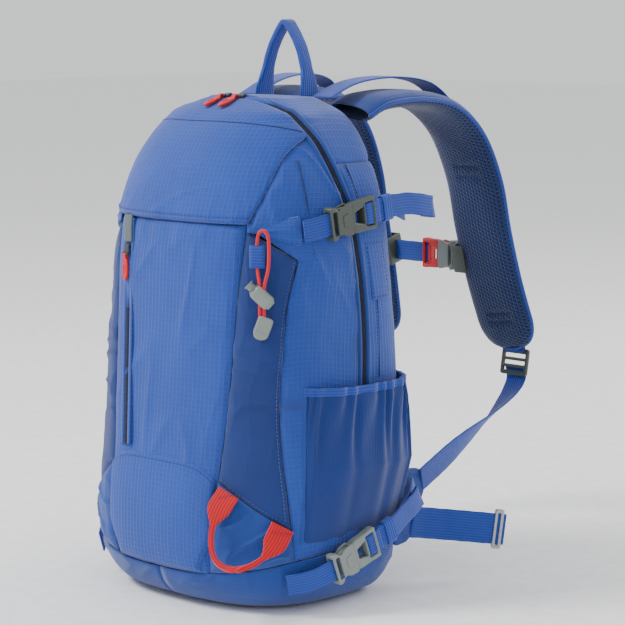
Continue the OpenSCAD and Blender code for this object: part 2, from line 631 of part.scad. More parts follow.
base_plate();
base_wrap();
front_panel();
lower_patch();
hood_panel();
top_yoke();
back_panel();
corner_panel_right();
corner_panel_left();
lower_corner_right();
lower_corner_left();
side_panel_right();
side_panel_left();
gusset_right();
gusset_left();
bottle_pocket_right();
bottle_pocket_left();
frame_sheet();
hydration_sleeve();
back_pads();
main_zip();
main_slider_right();
main_slider_left();
main_puller_right();
main_puller_left();
pocket_zip();
pocket_zip_garage();
pocket_slider();
pocket_puller();
haul_loop();
shoulder_pad_right();
shoulder_pad_left();
load_lifters();
ladder_lock_right();
ladder_lock_left();
strap_webbing_right();
strap_webbing_left();
anchor_wings();
sternum_slides();
sternum_webbing();
sternum_socket();
sternum_plug();
upper_webbing();
upper_socket_right();
upper_socket_left();
upper_plug_right();
upper_plug_left();
lower_webbing();
lower_socket_right();
lower_socket_left();
lower_plug_right();
lower_plug_left();
waist_belts();
waist_glide_right();
waist_glide_left();
axe_loop();
pole_tab();
pole_bungee();
cord_lock();
cord_lock_button();
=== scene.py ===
"""Looks of the hiking daypack: sewn fabric panels, webbing, buckles, zips and pads around the CAD frame.

Shapes are worked out in the frame's axes in millimetres and turned into metres when a mesh is made.
"""

import math

import bpy
import numpy as np
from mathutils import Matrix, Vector, noise


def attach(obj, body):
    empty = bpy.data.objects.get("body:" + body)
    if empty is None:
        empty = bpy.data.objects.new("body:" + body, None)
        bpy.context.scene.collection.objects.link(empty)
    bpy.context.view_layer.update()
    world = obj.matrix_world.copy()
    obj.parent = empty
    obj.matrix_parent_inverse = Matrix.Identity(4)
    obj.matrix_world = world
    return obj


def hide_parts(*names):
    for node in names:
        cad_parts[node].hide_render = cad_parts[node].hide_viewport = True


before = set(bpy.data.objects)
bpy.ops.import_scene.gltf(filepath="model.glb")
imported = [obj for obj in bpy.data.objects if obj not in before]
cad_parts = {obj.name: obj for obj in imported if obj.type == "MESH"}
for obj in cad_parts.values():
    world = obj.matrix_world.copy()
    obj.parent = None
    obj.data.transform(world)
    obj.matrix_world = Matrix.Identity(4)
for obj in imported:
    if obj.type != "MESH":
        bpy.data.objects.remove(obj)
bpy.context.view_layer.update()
MM = 0.001
SIDES = ("right", "left")

# ---- Outline of the bag, as the frame has it ----

BODY_H, BODY_W, FRONT_DEPTH, BACK_DEPTH = 455, 272, 121, 90
HALF_WIDTH = [(0, 0.74), (0.02, 0.87), (0.08, 0.965), (0.18, 1), (0.33, 0.985), (0.53, 0.95),
              (0.7, 0.9), (0.82, 0.825), (0.91, 0.7), (0.97, 0.54), (1, 0.33)]
FRONT = [(0, 0.64), (0.02, 0.82), (0.08, 0.965), (0.18, 1), (0.33, 0.945), (0.53, 0.89),
         (0.7, 0.85), (0.82, 0.775), (0.91, 0.62), (0.97, 0.4), (1, 0.1)]
BACK = [(0, 0.62), (0.02, 0.84), (0.08, 0.97), (0.18, 1), (0.33, 1), (0.53, 0.99),
        (0.7, 0.965), (0.82, 0.93), (0.91, 0.865), (0.97, 0.76), (1, 0.58)]
FRONT_POWER, BACK_POWER, WIDEST_SHARE = 2.6, 4.5, 0.55
FRONT_SEAM = [(20, -69), (80, -67.5), (200, -61.5), (280, -58), (350, -52.5)]
STRIP_SEAM = [(40, -26), (100, -30), (150, -34.5), (195, -36), (240, -34), (280, -31), (320, -24)]
HOOD_SEAM = [(348, -52.5), (378, -42), (404, -32), (414, -25), (424, -12)]
ZIP_LINE = [(198, 12.5), (240, 15.5), (280, 15.5), (320, 13), (350, 9.5), (380, 2)]
BACK_SEAM, HOOD_Z, YOKE_Z, FRONT_LOW_Z, BACK_LOW_Z = 52, 350, 400, 34, 26
ZIP_R, ZIP_CENTRE_Z, ZIP_LEAN, ZIP_END, ZIP_T = 186.3, 275, 0.25, 24, 1.8
SLIDER_ANGLE = 2.8
ZIP_PLANE_Y, ZIP_PLANE_Z, ZIP_CURVE_TOP = 47, 200, 380
TILT = math.atan(ZIP_LEAN)
LOWEST = 0.2


def lerp(a, b, t):
    return a + (b - a) * t


def smooth(x, low=0.0, high=1.0):
    """0 below low, 1 above high and a smooth step between them."""
    t = np.clip((np.asarray(x, float) - low) / (high - low), 0, 1)
    return t * t * (3 - 2 * t)


def hermite(s):
    """Shares of the two ends and of their slopes, at share s of the way: end, slope, end, slope."""
    return 2 * s**3 - 3 * s**2 + 1, s**3 - 2 * s**2 + s, 3 * s**2 - 2 * s**3, s**3 - s**2


def power(x, p):
    """Power that keeps the sign."""
    return np.sign(x) * np.abs(x)**p


def curve(table, x):
    """Smooth curve through a table of (x, y) pairs."""
    t = np.array(table, float)
    x = np.clip(np.asarray(x, float), t[0, 0], t[-1, 0])
    k = np.clip(np.searchsorted(t[:, 0], x, side="right") - 1, 0, len(t) - 2)
    low, high = np.maximum(np.arange(len(t)) - 1, 0), np.minimum(np.arange(len(t)) + 1, len(t) - 1)
    slope = (t[high, 1] - t[low, 1]) / (t[high, 0] - t[low, 0])
    h = t[k + 1, 0] - t[k, 0]
    a, a_slope, b, b_slope = hermite((x - t[k, 0]) / h)
    return a * t[k, 1] + a_slope * slope[k] * h + b * t[k + 1, 1] + b_slope * slope[k + 1] * h


def section(z):
    """Half width, front, back and widest line of the bag at a height."""
    f = np.asarray(z, float) / BODY_H
    front, back = -FRONT_DEPTH * curve(FRONT, f), BACK_DEPTH * curve(BACK, f)
    return BODY_W / 2 * curve(HALF_WIDTH, f), front, back, lerp(front, back, WIDEST_SHARE)


def outline(angle, z):
    """Points of the bag's surface at angles in degrees and heights."""
    angle, z = np.broadcast_arrays(np.asarray(angle, float), np.asarray(z, float))
    half, front, back, mid = section(z)
    c, s = np.cos(np.radians(angle)), np.sin(np.radians(angle))
    root = 2 / np.where(s < 0, FRONT_POWER, BACK_POWER)
    depth = np.where(s < 0, mid - front, back - mid)
    return np.stack([half * power(c, root), mid + depth * power(s, root), z], -1)


def normals_at(angle, z):
    """Outward normals of the bag's surface."""
    angle, z = np.asarray(angle, float), np.asarray(z, float)
    across = outline(angle + 3, z) - outline(angle - 3, z)
    up = outline(angle, np.minimum(z + 2, BODY_H)) - outline(angle, np.maximum(z - 2, 0))
    return unit(np.cross(across, up))


def unit(v):
    v = np.asarray(v, float)
    return v / np.maximum(np.linalg.norm(v, axis=-1, keepdims=True), 1e-9)


def skin(angle, z, off=0.0):
    """Points off the bag's surface."""
    return outline(angle, z) + np.asarray(off, float)[..., None] * normals_at(angle, z)


def zip_y(z):
    """Depth of the main zip at a height: a leaning plane over the top, and a curve below it."""
    return np.where(np.asarray(z) > ZIP_CURVE_TOP, zip_plane(z), curve(ZIP_LINE, z))


def zip_plane(z):
    return ZIP_PLANE_Y - ZIP_LEAN * (np.asarray(z, float) - ZIP_PLANE_Z)


def angle_at(y, z):
    """Angle round the bag where its surface is at depth y."""
    _, front, back, mid = section(z)
    q = np.asarray(y, float) - mid
    share = np.clip(q / np.where(q < 0, mid - front, back - mid), -1, 1)
    return np.degrees(np.arcsin(power(share, np.where(q < 0, FRONT_POWER, BACK_POWER) / 2)))


def zip_lift(z):
    """How far the main zip's arch stands off the bag's plain outline at a height."""
    edge = outline(angle_at(zip_y(z), z), z)
    radius = np.hypot(edge[..., 0], (np.asarray(z, float) - ZIP_CENTRE_Z) / math.cos(TILT))
    return np.clip(ZIP_R - radius, 0, 2.5) * smooth(z, 434, 442) + 1.2


def wrap_top(angle):
    """Height of the seam between the base's wrap and the panels above it."""
    s, c = np.sin(np.radians(angle)), np.cos(np.radians(angle))
    return lerp(lerp(FRONT_LOW_Z, BACK_LOW_Z, (1 + s) / 2), 54, c * c)


# ---- Materials ----


def node(tree, kind, inputs=(), **props):
    """Adds a shader node. An input that is a socket is linked, and any other is set."""
    n = tree.nodes.new("ShaderNode" + kind)
    for key, value in props.items():
        setattr(n, key, value)
    for key, value in dict(inputs).items():
        if isinstance(value, bpy.types.NodeSocket):
            tree.links.new(value, n.inputs[key])
        else:
            n.inputs[key].default_value = value
    return n


def calc(tree, op, a, b=0.0, c=0.0):
    return node(tree, "Math", {0: a, 1: b, 2: c}, operation=op).outputs[0]


def blend(tree, a, share, b):
    """A share of a, and the rest of b."""
    return calc(tree, "ADD", calc(tree, "MULTIPLY", a, share), calc(tree, "MULTIPLY", b, 1 - share))


def wave(tree, x, pitch):
    """Cosine ripple between 0 and 1 along x, in metres."""
    turn = calc(tree, "MULTIPLY", x, 2 * math.pi / pitch)
    return calc(tree, "MULTIPLY_ADD", calc(tree, "COSINE", turn), 0.5, 0.5)


def weave(tree, u, v):
    """Plain weave of fine threads."""
    return calc(tree, "MULTIPLY", wave(tree, u, 0.0013), wave(tree, v, 0.0013))


def ripstop(tree, u, v):
    """Fine weave with a raised thread at every 4.6 mm in both directions."""
    lines = [calc(tree, "POWER", wave(tree, x, 0.0046), 9.0) for x in (u, v)]
    return blend(tree, weave(tree, u, v), 0.16, calc(tree, "MAXIMUM", *lines))


def ribbed(tree, u, v):
    """Webbing: ribs along its length with a fine cross thread."""
    return blend(tree, wave(tree, u, 0.0026), 0.75, wave(tree, v, 0.0014))


def knit(tree, u, v):
    """Stretch knit with ribs up and down."""
    return blend(tree, wave(tree, u, 0.0019), 0.8, wave(tree, v, 0.0013))


def spacer(tree, u, v):
    """Spacer mesh: 0 in each round hole of a hexagonal grid and 1 between them."""
    pitch = 0.0037
    total = wave(tree, u, pitch)
    rise = calc(tree, "MULTIPLY", v, math.sqrt(0.75))
    for slant in (-0.5, 0.5):
        total = calc(tree, "ADD", total, wave(tree, calc(tree, "MULTIPLY_ADD", u, slant, rise), pitch))
    limits = {"Value": total, "From Min": 2.35, "From Max": 1.5}
    return node(tree, "MapRange", limits, interpolation_type="SMOOTHSTEP").outputs[0]


def new_material(name):
    """Empty material, its tree, its shader and the object's own coordinates."""
    mat = bpy.data.materials.new(name)
    mat.use_nodes = True
    tree = mat.node_tree
    return mat, tree, tree.nodes["Principled BSDF"], node(tree, "TexCoord").outputs["Object"]


def speckle(tree, place, scale, detail):
    return node(tree, "TexNoise", {"Vector": place, "Scale": scale, "Detail": detail}).outputs[0]


def between(tree, value, low, high, **limits):
    """Maps 0 to 1, or other limits, on to low to high."""
    inputs = {"Value": value, "To Min": low, "To Max": high}
    return node(tree, "MapRange", inputs | {k.replace("_", " "): v for k, v in limits.items()}).outputs[0]


def finish_look(tree, shader, colour, shade, height, depth, strength, rough):
    """Shades the colour, and sets the bump and the roughness."""
    links = {"Base Color": node(tree, "VectorMath", {0: colour, "Scale": shade}, operation="SCALE").outputs[0],
             "Normal": node(tree, "Bump", {"Height": height, "Distance": depth,
                                           "Strength": strength}).outputs[0],
             "Roughness": rough}
    for name, socket in links.items():
        tree.links.new(socket, shader.inputs[name])


def fabric(name, colour, pattern, dark=0.75, depth=0.0003, rough=0.8, strength=0.7):
    """Cloth whose threads follow the piece's weave coordinates. dark is the colour's share in the hollows, as
    painted shade, and the raised threads get a slight painted highlight.
    """
    mat, tree, shader, place = new_material(name)
    split = node(tree, "SeparateXYZ", {0: node(tree, "UVMap", uv_map="weave").outputs[0]})
    height = pattern(tree, split.outputs[0], split.outputs[1])
    cloud = speckle(tree, place, 14.0, 3.0)
    tint = between(tree, cloud, 0.9, 1.08, From_Min=0.3, From_Max=0.7)
    # Colour factor: a random tone, times painted shade in the weave's hollows and a slight painted highlight on
    # its raised threads.
    shade = calc(tree, "MULTIPLY", tint, between(tree, height, dark, 1.06))
    relief = calc(tree, "ADD", height, calc(tree, "MULTIPLY", speckle(tree, place, 900.0, 2.0), 0.25))
    gloss = between(tree, cloud, rough - 0.06, rough + 0.06)
    finish_look(tree, shader, colour, shade, relief, depth, strength, gloss)
    for socket, value in (("Sheen Weight", 0.25), ("Sheen Roughness", 0.45), ("Specular IOR Level", 0.3)):
        shader.inputs[socket].default_value = value
    return mat


def moulded(name, colour, rough=0.42, metallic=0.0):
    """Moulded plastic or painted metal with a fine grain and slightly uneven gloss."""
    mat, tree, shader, place = new_material(name)
    cloud = speckle(tree, place, 60.0, 4.0)
    shade = between(tree, cloud, 0.9, 1.12)
    gloss = between(tree, cloud, rough - 0.08, rough + 0.1)
    finish_look(tree, shader, colour, shade, speckle(tree, place, 1800.0, 3.0), 0.00004, 0.6, gloss)
    shader.inputs["Metallic"].default_value = metallic
    return mat


MATERIALS = {
    # Each cloth's dark value is painted shade in its weave's hollows.
    "ripstop_blue": fabric("ripstop_blue", (0.021, 0.068, 0.36), ripstop, dark=0.86, depth=0.0004),
    "plain_blue": fabric("plain_blue", (0.017, 0.060, 0.30), weave, dark=0.85),
    "navy_fabric": fabric("navy_fabric", (0.012, 0.036, 0.19), weave, dark=0.85),
    "stretch_navy": fabric("stretch_navy", (0.011, 0.036, 0.20), knit, dark=0.72, depth=0.0003),
    # The spacer mesh's holes keep only 0.12 of its colour: painted shade inside the holes.
    "spacer_mesh": fabric("spacer_mesh", (0.010, 0.028, 0.115), spacer, dark=0.12, depth=0.0009, strength=1.0),
    "pad_fabric": fabric("pad_fabric", (0.015, 0.045, 0.22), weave, dark=0.82),
    "webbing_blue": fabric("webbing_blue", (0.021, 0.068, 0.40), ribbed, dark=0.62, depth=0.0005, rough=0.7),
    "red_webbing": fabric("red_webbing", (0.62, 0.006, 0.014), ribbed, dark=0.6, depth=0.0005, rough=0.7),
    "zip_tape": fabric("zip_tape", (0.004, 0.008, 0.035), weave, dark=0.7, rough=0.75),
    "grey_ribbon": fabric("grey_ribbon", (0.10, 0.13, 0.15), ribbed, dark=0.7, depth=0.0003),
    "lining": fabric("lining", (0.30, 0.32, 0.35), weave, dark=0.85),
    "thread": fabric("thread", (0.05, 0.11, 0.42), weave, dark=0.8, rough=0.6),
    "dark_thread": fabric("dark_thread", (0.008, 0.018, 0.10), weave, dark=0.8, rough=0.6),
    "buckle_dark": moulded("buckle_dark", (0.060, 0.072, 0.060)),
    "buckle_grey": moulded("buckle_grey", (0.20, 0.23, 0.215)),
    "red_plastic": moulded("red_plastic", (0.58, 0.008, 0.014), rough=0.38),
    "slider_grey": moulded("slider_grey", (0.06, 0.065, 0.075), rough=0.35, metallic=0.5),
    "coil": moulded("coil", (0.012, 0.018, 0.06), rough=0.4),
    "frame_white": moulded("frame_white", (0.7, 0.72, 0.73)),
    "glide_metal": moulded("glide_metal", (0.36, 0.37, 0.39), rough=0.32, metallic=0.85),
}

# ---- Meshes ----


def flipped(faces):
    return [tuple(reversed(f)) for f in faces]


def new_object(name, data):
    obj = bpy.data.objects.new(name, data)
    bpy.context.scene.collection.objects.link(obj)
    return obj


def make(name, points, faces, look, body, weave_uv, replaces=(), sides=False):
    """Makes one piece, or a right and a left one where sides is set and each @ stands for the side."""
    made = []
    for side in SIDES if sides else (None,):
        pts = np.array(points, float) * MM
        flip = side == "left"
        if flip:
            pts[:, 0] *= -1
        mesh = bpy.data.meshes.new(name.replace("@", side or ""))
        mesh.from_pydata(pts.tolist(), [], flipped(faces) if flip else [tuple(f) for f in faces])
        mesh.polygons.foreach_set("use_smooth", [True] * len(mesh.polygons))
        loops = np.empty(len(mesh.loops), int)
        mesh.loops.foreach_get("vertex_index", loops)
        layer = mesh.uv_layers.new(name="weave")
        layer.data.foreach_set("uv", (np.array(weave_uv, float) * MM)[loops].ravel())
        mesh.materials.append(MATERIALS[look])
        obj = new_object(mesh.name, mesh)
        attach(obj, body.replace("@", side or ""))
        if replaces:
            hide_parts(*[n.replace("@", side or "") for n in replaces])
        made.append(obj)
    return made


def grid_faces(rows, cols, start=0):
    k = start + np.arange((rows - 1) * cols).reshape(rows - 1, cols)[:, :-1].ravel()
    return np.stack([k, k + 1, k + cols + 1, k + cols], -1)


def thick_sheet(points, thick):
    """Closed sheet from a grid of outer points: vertices and faces, with its thickness inwards."""
    rows, cols = points.shape[:2]
    outward = grid_normals(points)
    verts = np.concatenate([points.reshape(-1, 3), (points - thick * outward).reshape(-1, 3)])
    n = rows * cols
    outer = grid_faces(rows, cols)
    inner = grid_faces(rows, cols, n)[:, ::-1]
    rim = np.concatenate([np.arange(cols), np.arange(1, rows) * cols + cols - 1,
                          (rows - 1) * cols + np.arange(cols - 2, -1, -1), np.arange(rows - 2, 0, -1) * cols])
    after = np.roll(rim, -1)
    walls = np.stack([after, rim, rim + n, after + n], -1)
    return verts, np.concatenate([outer, inner, walls]).tolist()


def grid_normals(points):
    return unit(np.cross(np.gradient(points, axis=1), np.gradient(points, axis=0)))


def travel(points, axis=0):
    """Distance of each point from the start of its row or column, or along a path."""
    step = np.linalg.norm(np.diff(points, axis=axis), axis=-1)
    return np.concatenate([np.zeros_like(step.take([0], axis)), np.cumsum(step, axis=axis)], axis)


def arc_uv(points):
    """Weave coordinates in millimetres: distance across from the middle column and up the middle column."""
    middle = points.shape[1] // 2
    u = travel(points, 1)
    u -= u[:, middle:middle + 1]
    v = travel(points[:, middle])[:, None] * np.ones(points.shape[1])
    return np.stack([u, v], -1).reshape(-1, 2)


def sheet(name, points, thick, look, replaces=(), sides=False):
    """Closed sheet of fabric from a grid of outer points, with its weave along the grid."""
    verts, faces = thick_sheet(points, thick)
    uv = arc_uv(points)
    return make(name, verts, faces, look, "bag", np.concatenate([uv, uv]), replaces, sides)


def ripple(points, size, seed=0.0):
    """Smooth noise between about -1 and 1 at each point, with bumps of about size millimetres."""
    flat = points.reshape(-1, 3) / size + seed
    return np.array([noise.noise(Vector(p)) for p in flat]).reshape(points.shape[:-1])


def creases(points, along, long, short, seed=0.0):
    """Narrow ridges that run along a direction, between 0 and 1."""
    along = unit(along)
    run = points @ along
    rest = points - run[..., None] * along
    warped = rest / short + (run / long)[..., None] * along
    value = ripple(warped, 1.0, seed)
    return np.clip(1 - np.abs(value) * 3.2, 0, 1)**2


PANELS = {}


def edge_distance(points, edges="lrbt"):
    """Distance in millimetres of each grid point from the named edges: left, right, bottom and top."""
    u, v = travel(points, 1), travel(points, 0)
    near = np.full(points.shape[:2], 1e3)
    for letter, dist in (("l", u), ("r", u[:, -1:] - u), ("b", v), ("t", v[-1:] - v)):
        if letter in edges:
            near = np.minimum(near, dist)
    return near


def panel(name, angle, z, look, replaces=(), sides=False, puff=1.6, sink=1.5, soft=1.2, edges="lrbt",
          extra=None, thick=1.6, seam=5.0, seed=0.0, lift=True):
    """Sewn panel from grids of angles and heights. It dips at its seams and swells between them."""
    base = outline(angle, z)
    near = edge_distance(base, edges)
    rise = -sink + (sink + puff) * (1 - np.exp(-near / seam))
    calm = 1 - np.exp(-near / 14)
    rise = rise + soft * calm * (ripple(base, 62, 3.1 + seed) + 0.45 * ripple(base, 24, 7.7 + seed))
    pulls = creases(base, (0, 0, 1), 60, 16, seed) * np.exp(-near / 22) * (near > 1)
    rise = rise + 0.7 * soft * pulls * (1 - np.exp(-near / 5))
    if lift:
        rise = rise + zip_lift(z) * np.exp(-((base[..., 1] - zip_y(z)) / 24)**2) * smooth(z, 190, 230)
    if extra is not None:
        rise = rise + extra(base, near)
    points = base + rise[..., None] * normals_at(angle, z)
    points[..., 2] = np.maximum(points[..., 2], LOWEST)
    PANELS[name] = points
    return sheet(name, points, thick, look, replaces, sides)


def on_panel(name, u, v, off=0.4):
    """Points off a panel's surface at shares u across and v up its grid. One may be a single number."""
    points = PANELS[name]
    out = grid_normals(points)
    rows, cols = points.shape[:2]
    u, v = np.broadcast_arrays(np.asarray(u, float) * (cols - 1), np.asarray(v, float) * (rows - 1))
    i, j = np.clip(u.astype(int), 0, cols - 2), np.clip(v.astype(int), 0, rows - 2)
    fu, fv = (u - i)[..., None], (v - j)[..., None]

    def mix(a):
        return lerp(lerp(a[j, i], a[j, i + 1], fu), lerp(a[j + 1, i], a[j + 1, i + 1], fu), fv)

    return mix(points) + off * unit(mix(out))


def rail(path, step):
    """Points at even distances along a path."""
    path = np.array(path, float)
    length = travel(path)
    at = np.linspace(0, length[-1], max(int(length[-1] / step), 1) + 1)
    return np.stack([np.interp(at, length, path[:, k]) for k in range(3)], -1)


def spline(points, k):
    """Catmull-Rom path through given points, with k steps between each pair."""
    p = np.array(points, float)
    out = []
    for i in range(len(p) - 1):
        m0 = (p[i + 1] - p[max(i - 1, 0)]) / 2
        m1 = (p[min(i + 2, len(p) - 1)] - p[i]) / 2
        for a, a_slope, b, b_slope in map(hermite, np.arange(k) / k):
            out.append(a * p[i] + a_slope * m0 + b * p[i + 1] + b_slope * m1)
    return np.array(out + [p[-1]])


def sweep(path, shapes, side):
    """Closed tube whose ring i is the 2D shape shapes[i], with side[i] as its width direction."""
    path = np.array(path, float)
    along = unit(np.gradient(path, axis=0))
    side = np.broadcast_to(np.array(side, float), path.shape)
    side = unit(side - np.sum(side * along, -1, keepdims=True) * along)
    out = np.cross(along, side)
    rings = path[:, None] + shapes[..., :1] * side[:, None] + shapes[..., 1:] * out[:, None]
    n, m = rings.shape[:2]
    faces = []
    for i in range(n - 1):
        for k in range(m):
            a, b = i * m + k, i * m + (k + 1) % m
            faces.append((b, a, a + m, b + m))
    faces += [tuple(range(m)), tuple(reversed(range((n - 1) * m, n * m)))]
    return rings.reshape(-1, 3), faces


def strap_shapes(width, thick, bulge):
    """A rounded flat section for each width and thickness along a strap."""
    xs = np.array([-1, -0.965, -0.9, -0.6, -0.3, 0, 0.3, 0.6, 0.9, 0.965, 1])
    top = np.array([0.25, 0.8, 1, 1, 1, 1, 1, 1, 1, 0.8, 0.25]) + bulge * (1 - xs**2)
    shape = np.concatenate([np.stack([xs, top], -1), np.stack([xs[::-1], -top[::-1]], -1)])
    return shape[None] * np.stack([width / 2, thick / 2], -1)[:, None]


def webbing(name, path, side, width=25, thick=1.7, look="webbing_blue", body="bag", replaces=(), sides=False,
            step=2.5, wobble=0.25, bulge=0.0):
    """Woven strap along a path. Widths and thicknesses may be lists, spread evenly along it."""
    path = rail(path, step)
    n = len(path)
    share = np.linspace(0, 1, n)

    def spread(values):
        values = np.atleast_1d(values)
        return np.interp(share, np.linspace(0, 1, len(values)), values)

    side = np.stack([spread(k) for k in np.atleast_2d(side).T], -1)
    shapes = strap_shapes(spread(width) + wobble * np.sin(share * n * 0.9), spread(thick), bulge)
    verts, faces = sweep(path, shapes, side)
    run = np.broadcast_to(travel(path)[:, None], shapes.shape[:2])
    uv = np.stack([shapes[..., 0], run], -1).reshape(-1, 2)
    return make(name, verts, faces, look, body, uv, replaces, sides)


def turns(around):
    return np.linspace(0, 2 * math.pi, around, endpoint=False)


def circle(radius, around):
    return np.stack([np.cos(turns(around)), np.sin(turns(around))], -1) * radius


def cord_tube(name, path, radius, look, sides=False, step=2.0):
    """Round cord or piping along a path."""
    path, around = rail(path, step), 10
    shapes = np.broadcast_to(circle(radius, around), (len(path), around, 2))
    side = np.cross(unit(np.gradient(path, axis=0)), unit(path - path.mean(0) + 0.01))
    verts, faces = sweep(path, shapes, side)
    run = np.repeat(np.arange(len(path)) * step, around)
    uv = np.stack([np.tile(turns(around) * radius, len(path)), run], -1)
    return make(name, verts, faces, look, "bag", uv, (), sides)


def stitches(name, paths, look="dark_thread", sides=False, pitch=3.4, length=2.3, width=0.55, height=0.5,
             across=False):
    """Rows of short raised stitches along paths. With across, each lies that way and the row makes a coil."""
    verts, faces = [], []
    shape = np.array([(-0.5, 0, 0), (-0.3, 0.5, 0.25), (-0.3, -0.5, 0.25), (0.3, 0.5, 0.25), (0.3, -0.5, 0.25),
                      (0.5, 0, 0), (-0.25, 0, 1), (0.25, 0, 1)])
    rims = [(0, 2, 6), (0, 6, 1), (1, 6, 7, 3), (6, 2, 4, 7), (3, 7, 5), (7, 4, 5), (0, 1, 3, 5, 4, 2)]
    centre = (0, -5, 230)
    for path in paths:
        points = rail(path, pitch)
        along = unit(np.gradient(points, axis=0))
        out = unit(points - centre - np.sum((points - centre) * along, -1, keepdims=True) * along)
        side = np.cross(out, along)
        if across:
            along, side = side, along
        for p, a, s, o in zip(points[1:], along[1:], side[1:], out[1:]):
            start = len(verts)
            verts += [p + q[0] * length * a + q[1] * width * s + (q[2] * height - 0.1) * o for q in shape]
            faces += [tuple(start + k for k in f) for f in rims]
    return make(name, verts, faces, look, "bag", np.zeros((len(verts), 2)), (), sides)


def rounded(points, radius, steps=4):
    """Closed outline with its corners rounded. radius may be one value or one for each corner."""
    points = [np.array(p, float) for p in points]
    radii = radius if isinstance(radius, (list, tuple)) else [radius] * len(points)
    out = []
    for i, p in enumerate(points):
        a, b = points[i - 1] - p, points[(i + 1) % len(points)] - p
        cut = min(radii[i], 0.48 * np.linalg.norm(a), 0.48 * np.linalg.norm(b))
        start, end = p + unit(a) * cut, p + unit(b) * cut
        out += [(1 - t)**2 * start + 2 * t * (1 - t) * p + t**2 * end for t in np.linspace(0, 1, steps + 1)]
    return out


def rect(x0, y0, x1, y1, radius):
    return rounded([(x0, y0), (x1, y0), (x1, y1), (x0, y1)], radius)


def moulding(outlines, thick, bevel=0.7, level=0.0):
    """Plate with rounded edges from closed 2D outlines, where one inside another is a hole."""
    data = bpy.data.curves.new("outline", "CURVE")
    data.dimensions, data.fill_mode = "2D", "BOTH"
    data.extrude, data.bevel_depth, data.bevel_resolution, data.offset = thick / 2 - bevel, bevel, 2, -bevel
    for shape in outlines:
        line = data.splines.new("POLY")
        line.points.add(len(shape) - 1)
        for point, (x, y) in zip(line.points, shape):
            point.co = (x, y, 0, 1)
        line.use_cyclic_u = True
    obj = new_object("outline", data)
    mesh = bpy.data.meshes.new_from_object(obj.evaluated_get(bpy.context.evaluated_depsgraph_get()))
    verts = np.array([v.co[:] for v in mesh.vertices]) + (0, 0, level)
    faces = [tuple(p.vertices) for p in mesh.polygons]
    bpy.data.objects.remove(obj)
    bpy.data.meshes.remove(mesh)
    return verts, faces


def join(*parts):
    """Several (vertices, faces) as one."""
    verts, faces = [], []
    for v, f in parts:
        start = sum(len(q) for q in verts)
        faces += [tuple(int(k) + start for k in face) for face in f]
        verts.append(np.array(v, float))
    return np.concatenate(verts), faces


def put(part, x, y, z, at):
    """Places vertices with the frame's x, y and z axes at a point."""
    verts, faces = part
    return verts @ np.array([x, y, z], float) + np.array(at, float), faces


def solid(name, part, look, body, replaces=(), sides=False):
    """Hard piece with sharp edges."""
    verts, faces = part
    made = make(name, verts, faces, look, body, verts[:, :2], replaces, sides)
    for obj in made:
        obj.data.set_sharp_from_angle(angle=math.radians(40))
    return made


def block(size, centre=(0, 0, 0), bevel=0.5, radius=0.8):
    w, d, h = size
    verts, faces = moulding([rect(-w / 2, -d / 2, w / 2, d / 2, radius)], h, min(bevel, h * 0.4))
    return verts + np.array(centre, float), faces


def bar(start, end, radius, around=12):
    """Straight round bar between two points."""
    path = np.array([start, end], float)
    direction = unit(path[1] - path[0])
    helper = (0, 0, 1) if abs(direction[2]) < 0.9 else (1, 0, 0)
    return sweep(path, np.stack([circle(radius, around)] * 2), np.cross(direction, helper))


# ---- Camera, light and floor ----

AZIMUTH, ELEVATION, DISTANCE = math.radians(43), math.radians(8), 2.2
level = math.cos(ELEVATION)
view = Vector((-math.sin(AZIMUTH) * level, math.cos(AZIMUTH) * level, -math.sin(ELEVATION)))
view_right = Vector((math.cos(AZIMUTH), math.sin(AZIMUTH), 0))
view_up = view_right.cross(view)
camera_data = bpy.data.cameras.new("camera")
camera_data.lens, camera_data.sensor_width = 135.4, 36
camera = new_object("camera", camera_data)
camera.location = Vector((0, 0, 0.23)) + 0.0604 * view_right + 0.0257 * view_up - DISTANCE * view
camera.rotation_euler = view.to_track_quat("-Z", "Y").to_euler()
bpy.context.scene.camera = camera


def area_light(name, place, size, power):
    """Round soft light aimed at the middle of the pack."""
    data = bpy.data.lights.new(name, "AREA")
    data.shape, data.size, data.energy = "DISK", size, power
    lamp = new_object(name, data)
    lamp.location = place
    lamp.rotation_euler = (Vector((0, 0, 0.25)) - Vector(place)).to_track_quat("-Z", "Y").to_euler()


area_light("key", (-1.1, -1.6, 2.2), 0.9, 74)
area_light("side", (2.3, -0.9, 0.9), 1.4, 3)
area_light("rim", (0.6, 2.2, 1.4), 1.2, 26)
world = bpy.data.worlds.new("studio")
world.use_nodes = True
background = world.node_tree.nodes["Background"].inputs
background[0].default_value, background[1].default_value = (0.97, 0.985, 1.0, 1), 0.95
bpy.context.scene.world = world


def floor():
    """Pale floor under the pack."""
    mesh = bpy.data.meshes.new("floor")
    mesh.from_pydata([(-9, -9, 0), (9, -9, 0), (9, 9, 0), (-9, 9, 0)], [], [(0, 1, 2, 3)])
    mesh.materials.append(moulded("floor_pale", (0.93, 0.93, 0.93), rough=0.85))
    new_object("floor", mesh)


floor()

# ---- Red elastic loop through its tab, with a cord lock ----

HOLDER_AT = (-47, 300)
CORD_PATH = [(-3, 10, -32), (-3, 10, -4), (-1, 5.4, 8), (0, 3.4, 16), (0, 3.4, 34), (-2, 4, 44), (-7, 5.4, 46),
             (-10.5, 6, 38), (-10.5, 8, 14), (-7, 10, -4), (-7, 10, -32)]
holder_origin = skin(*HOLDER_AT)
holder_out = unit(normals_at(*HOLDER_AT) * (1, 1, 0))
HOLDER = (np.cross(holder_out, (0, 0, 1)), holder_out, np.array((0.0, 0.0, 1.0)))


def hold(part):
    """Places a part in the pole holder's frame: x along the panel, y off it and z up."""
    return put(part, *HOLDER, holder_origin)


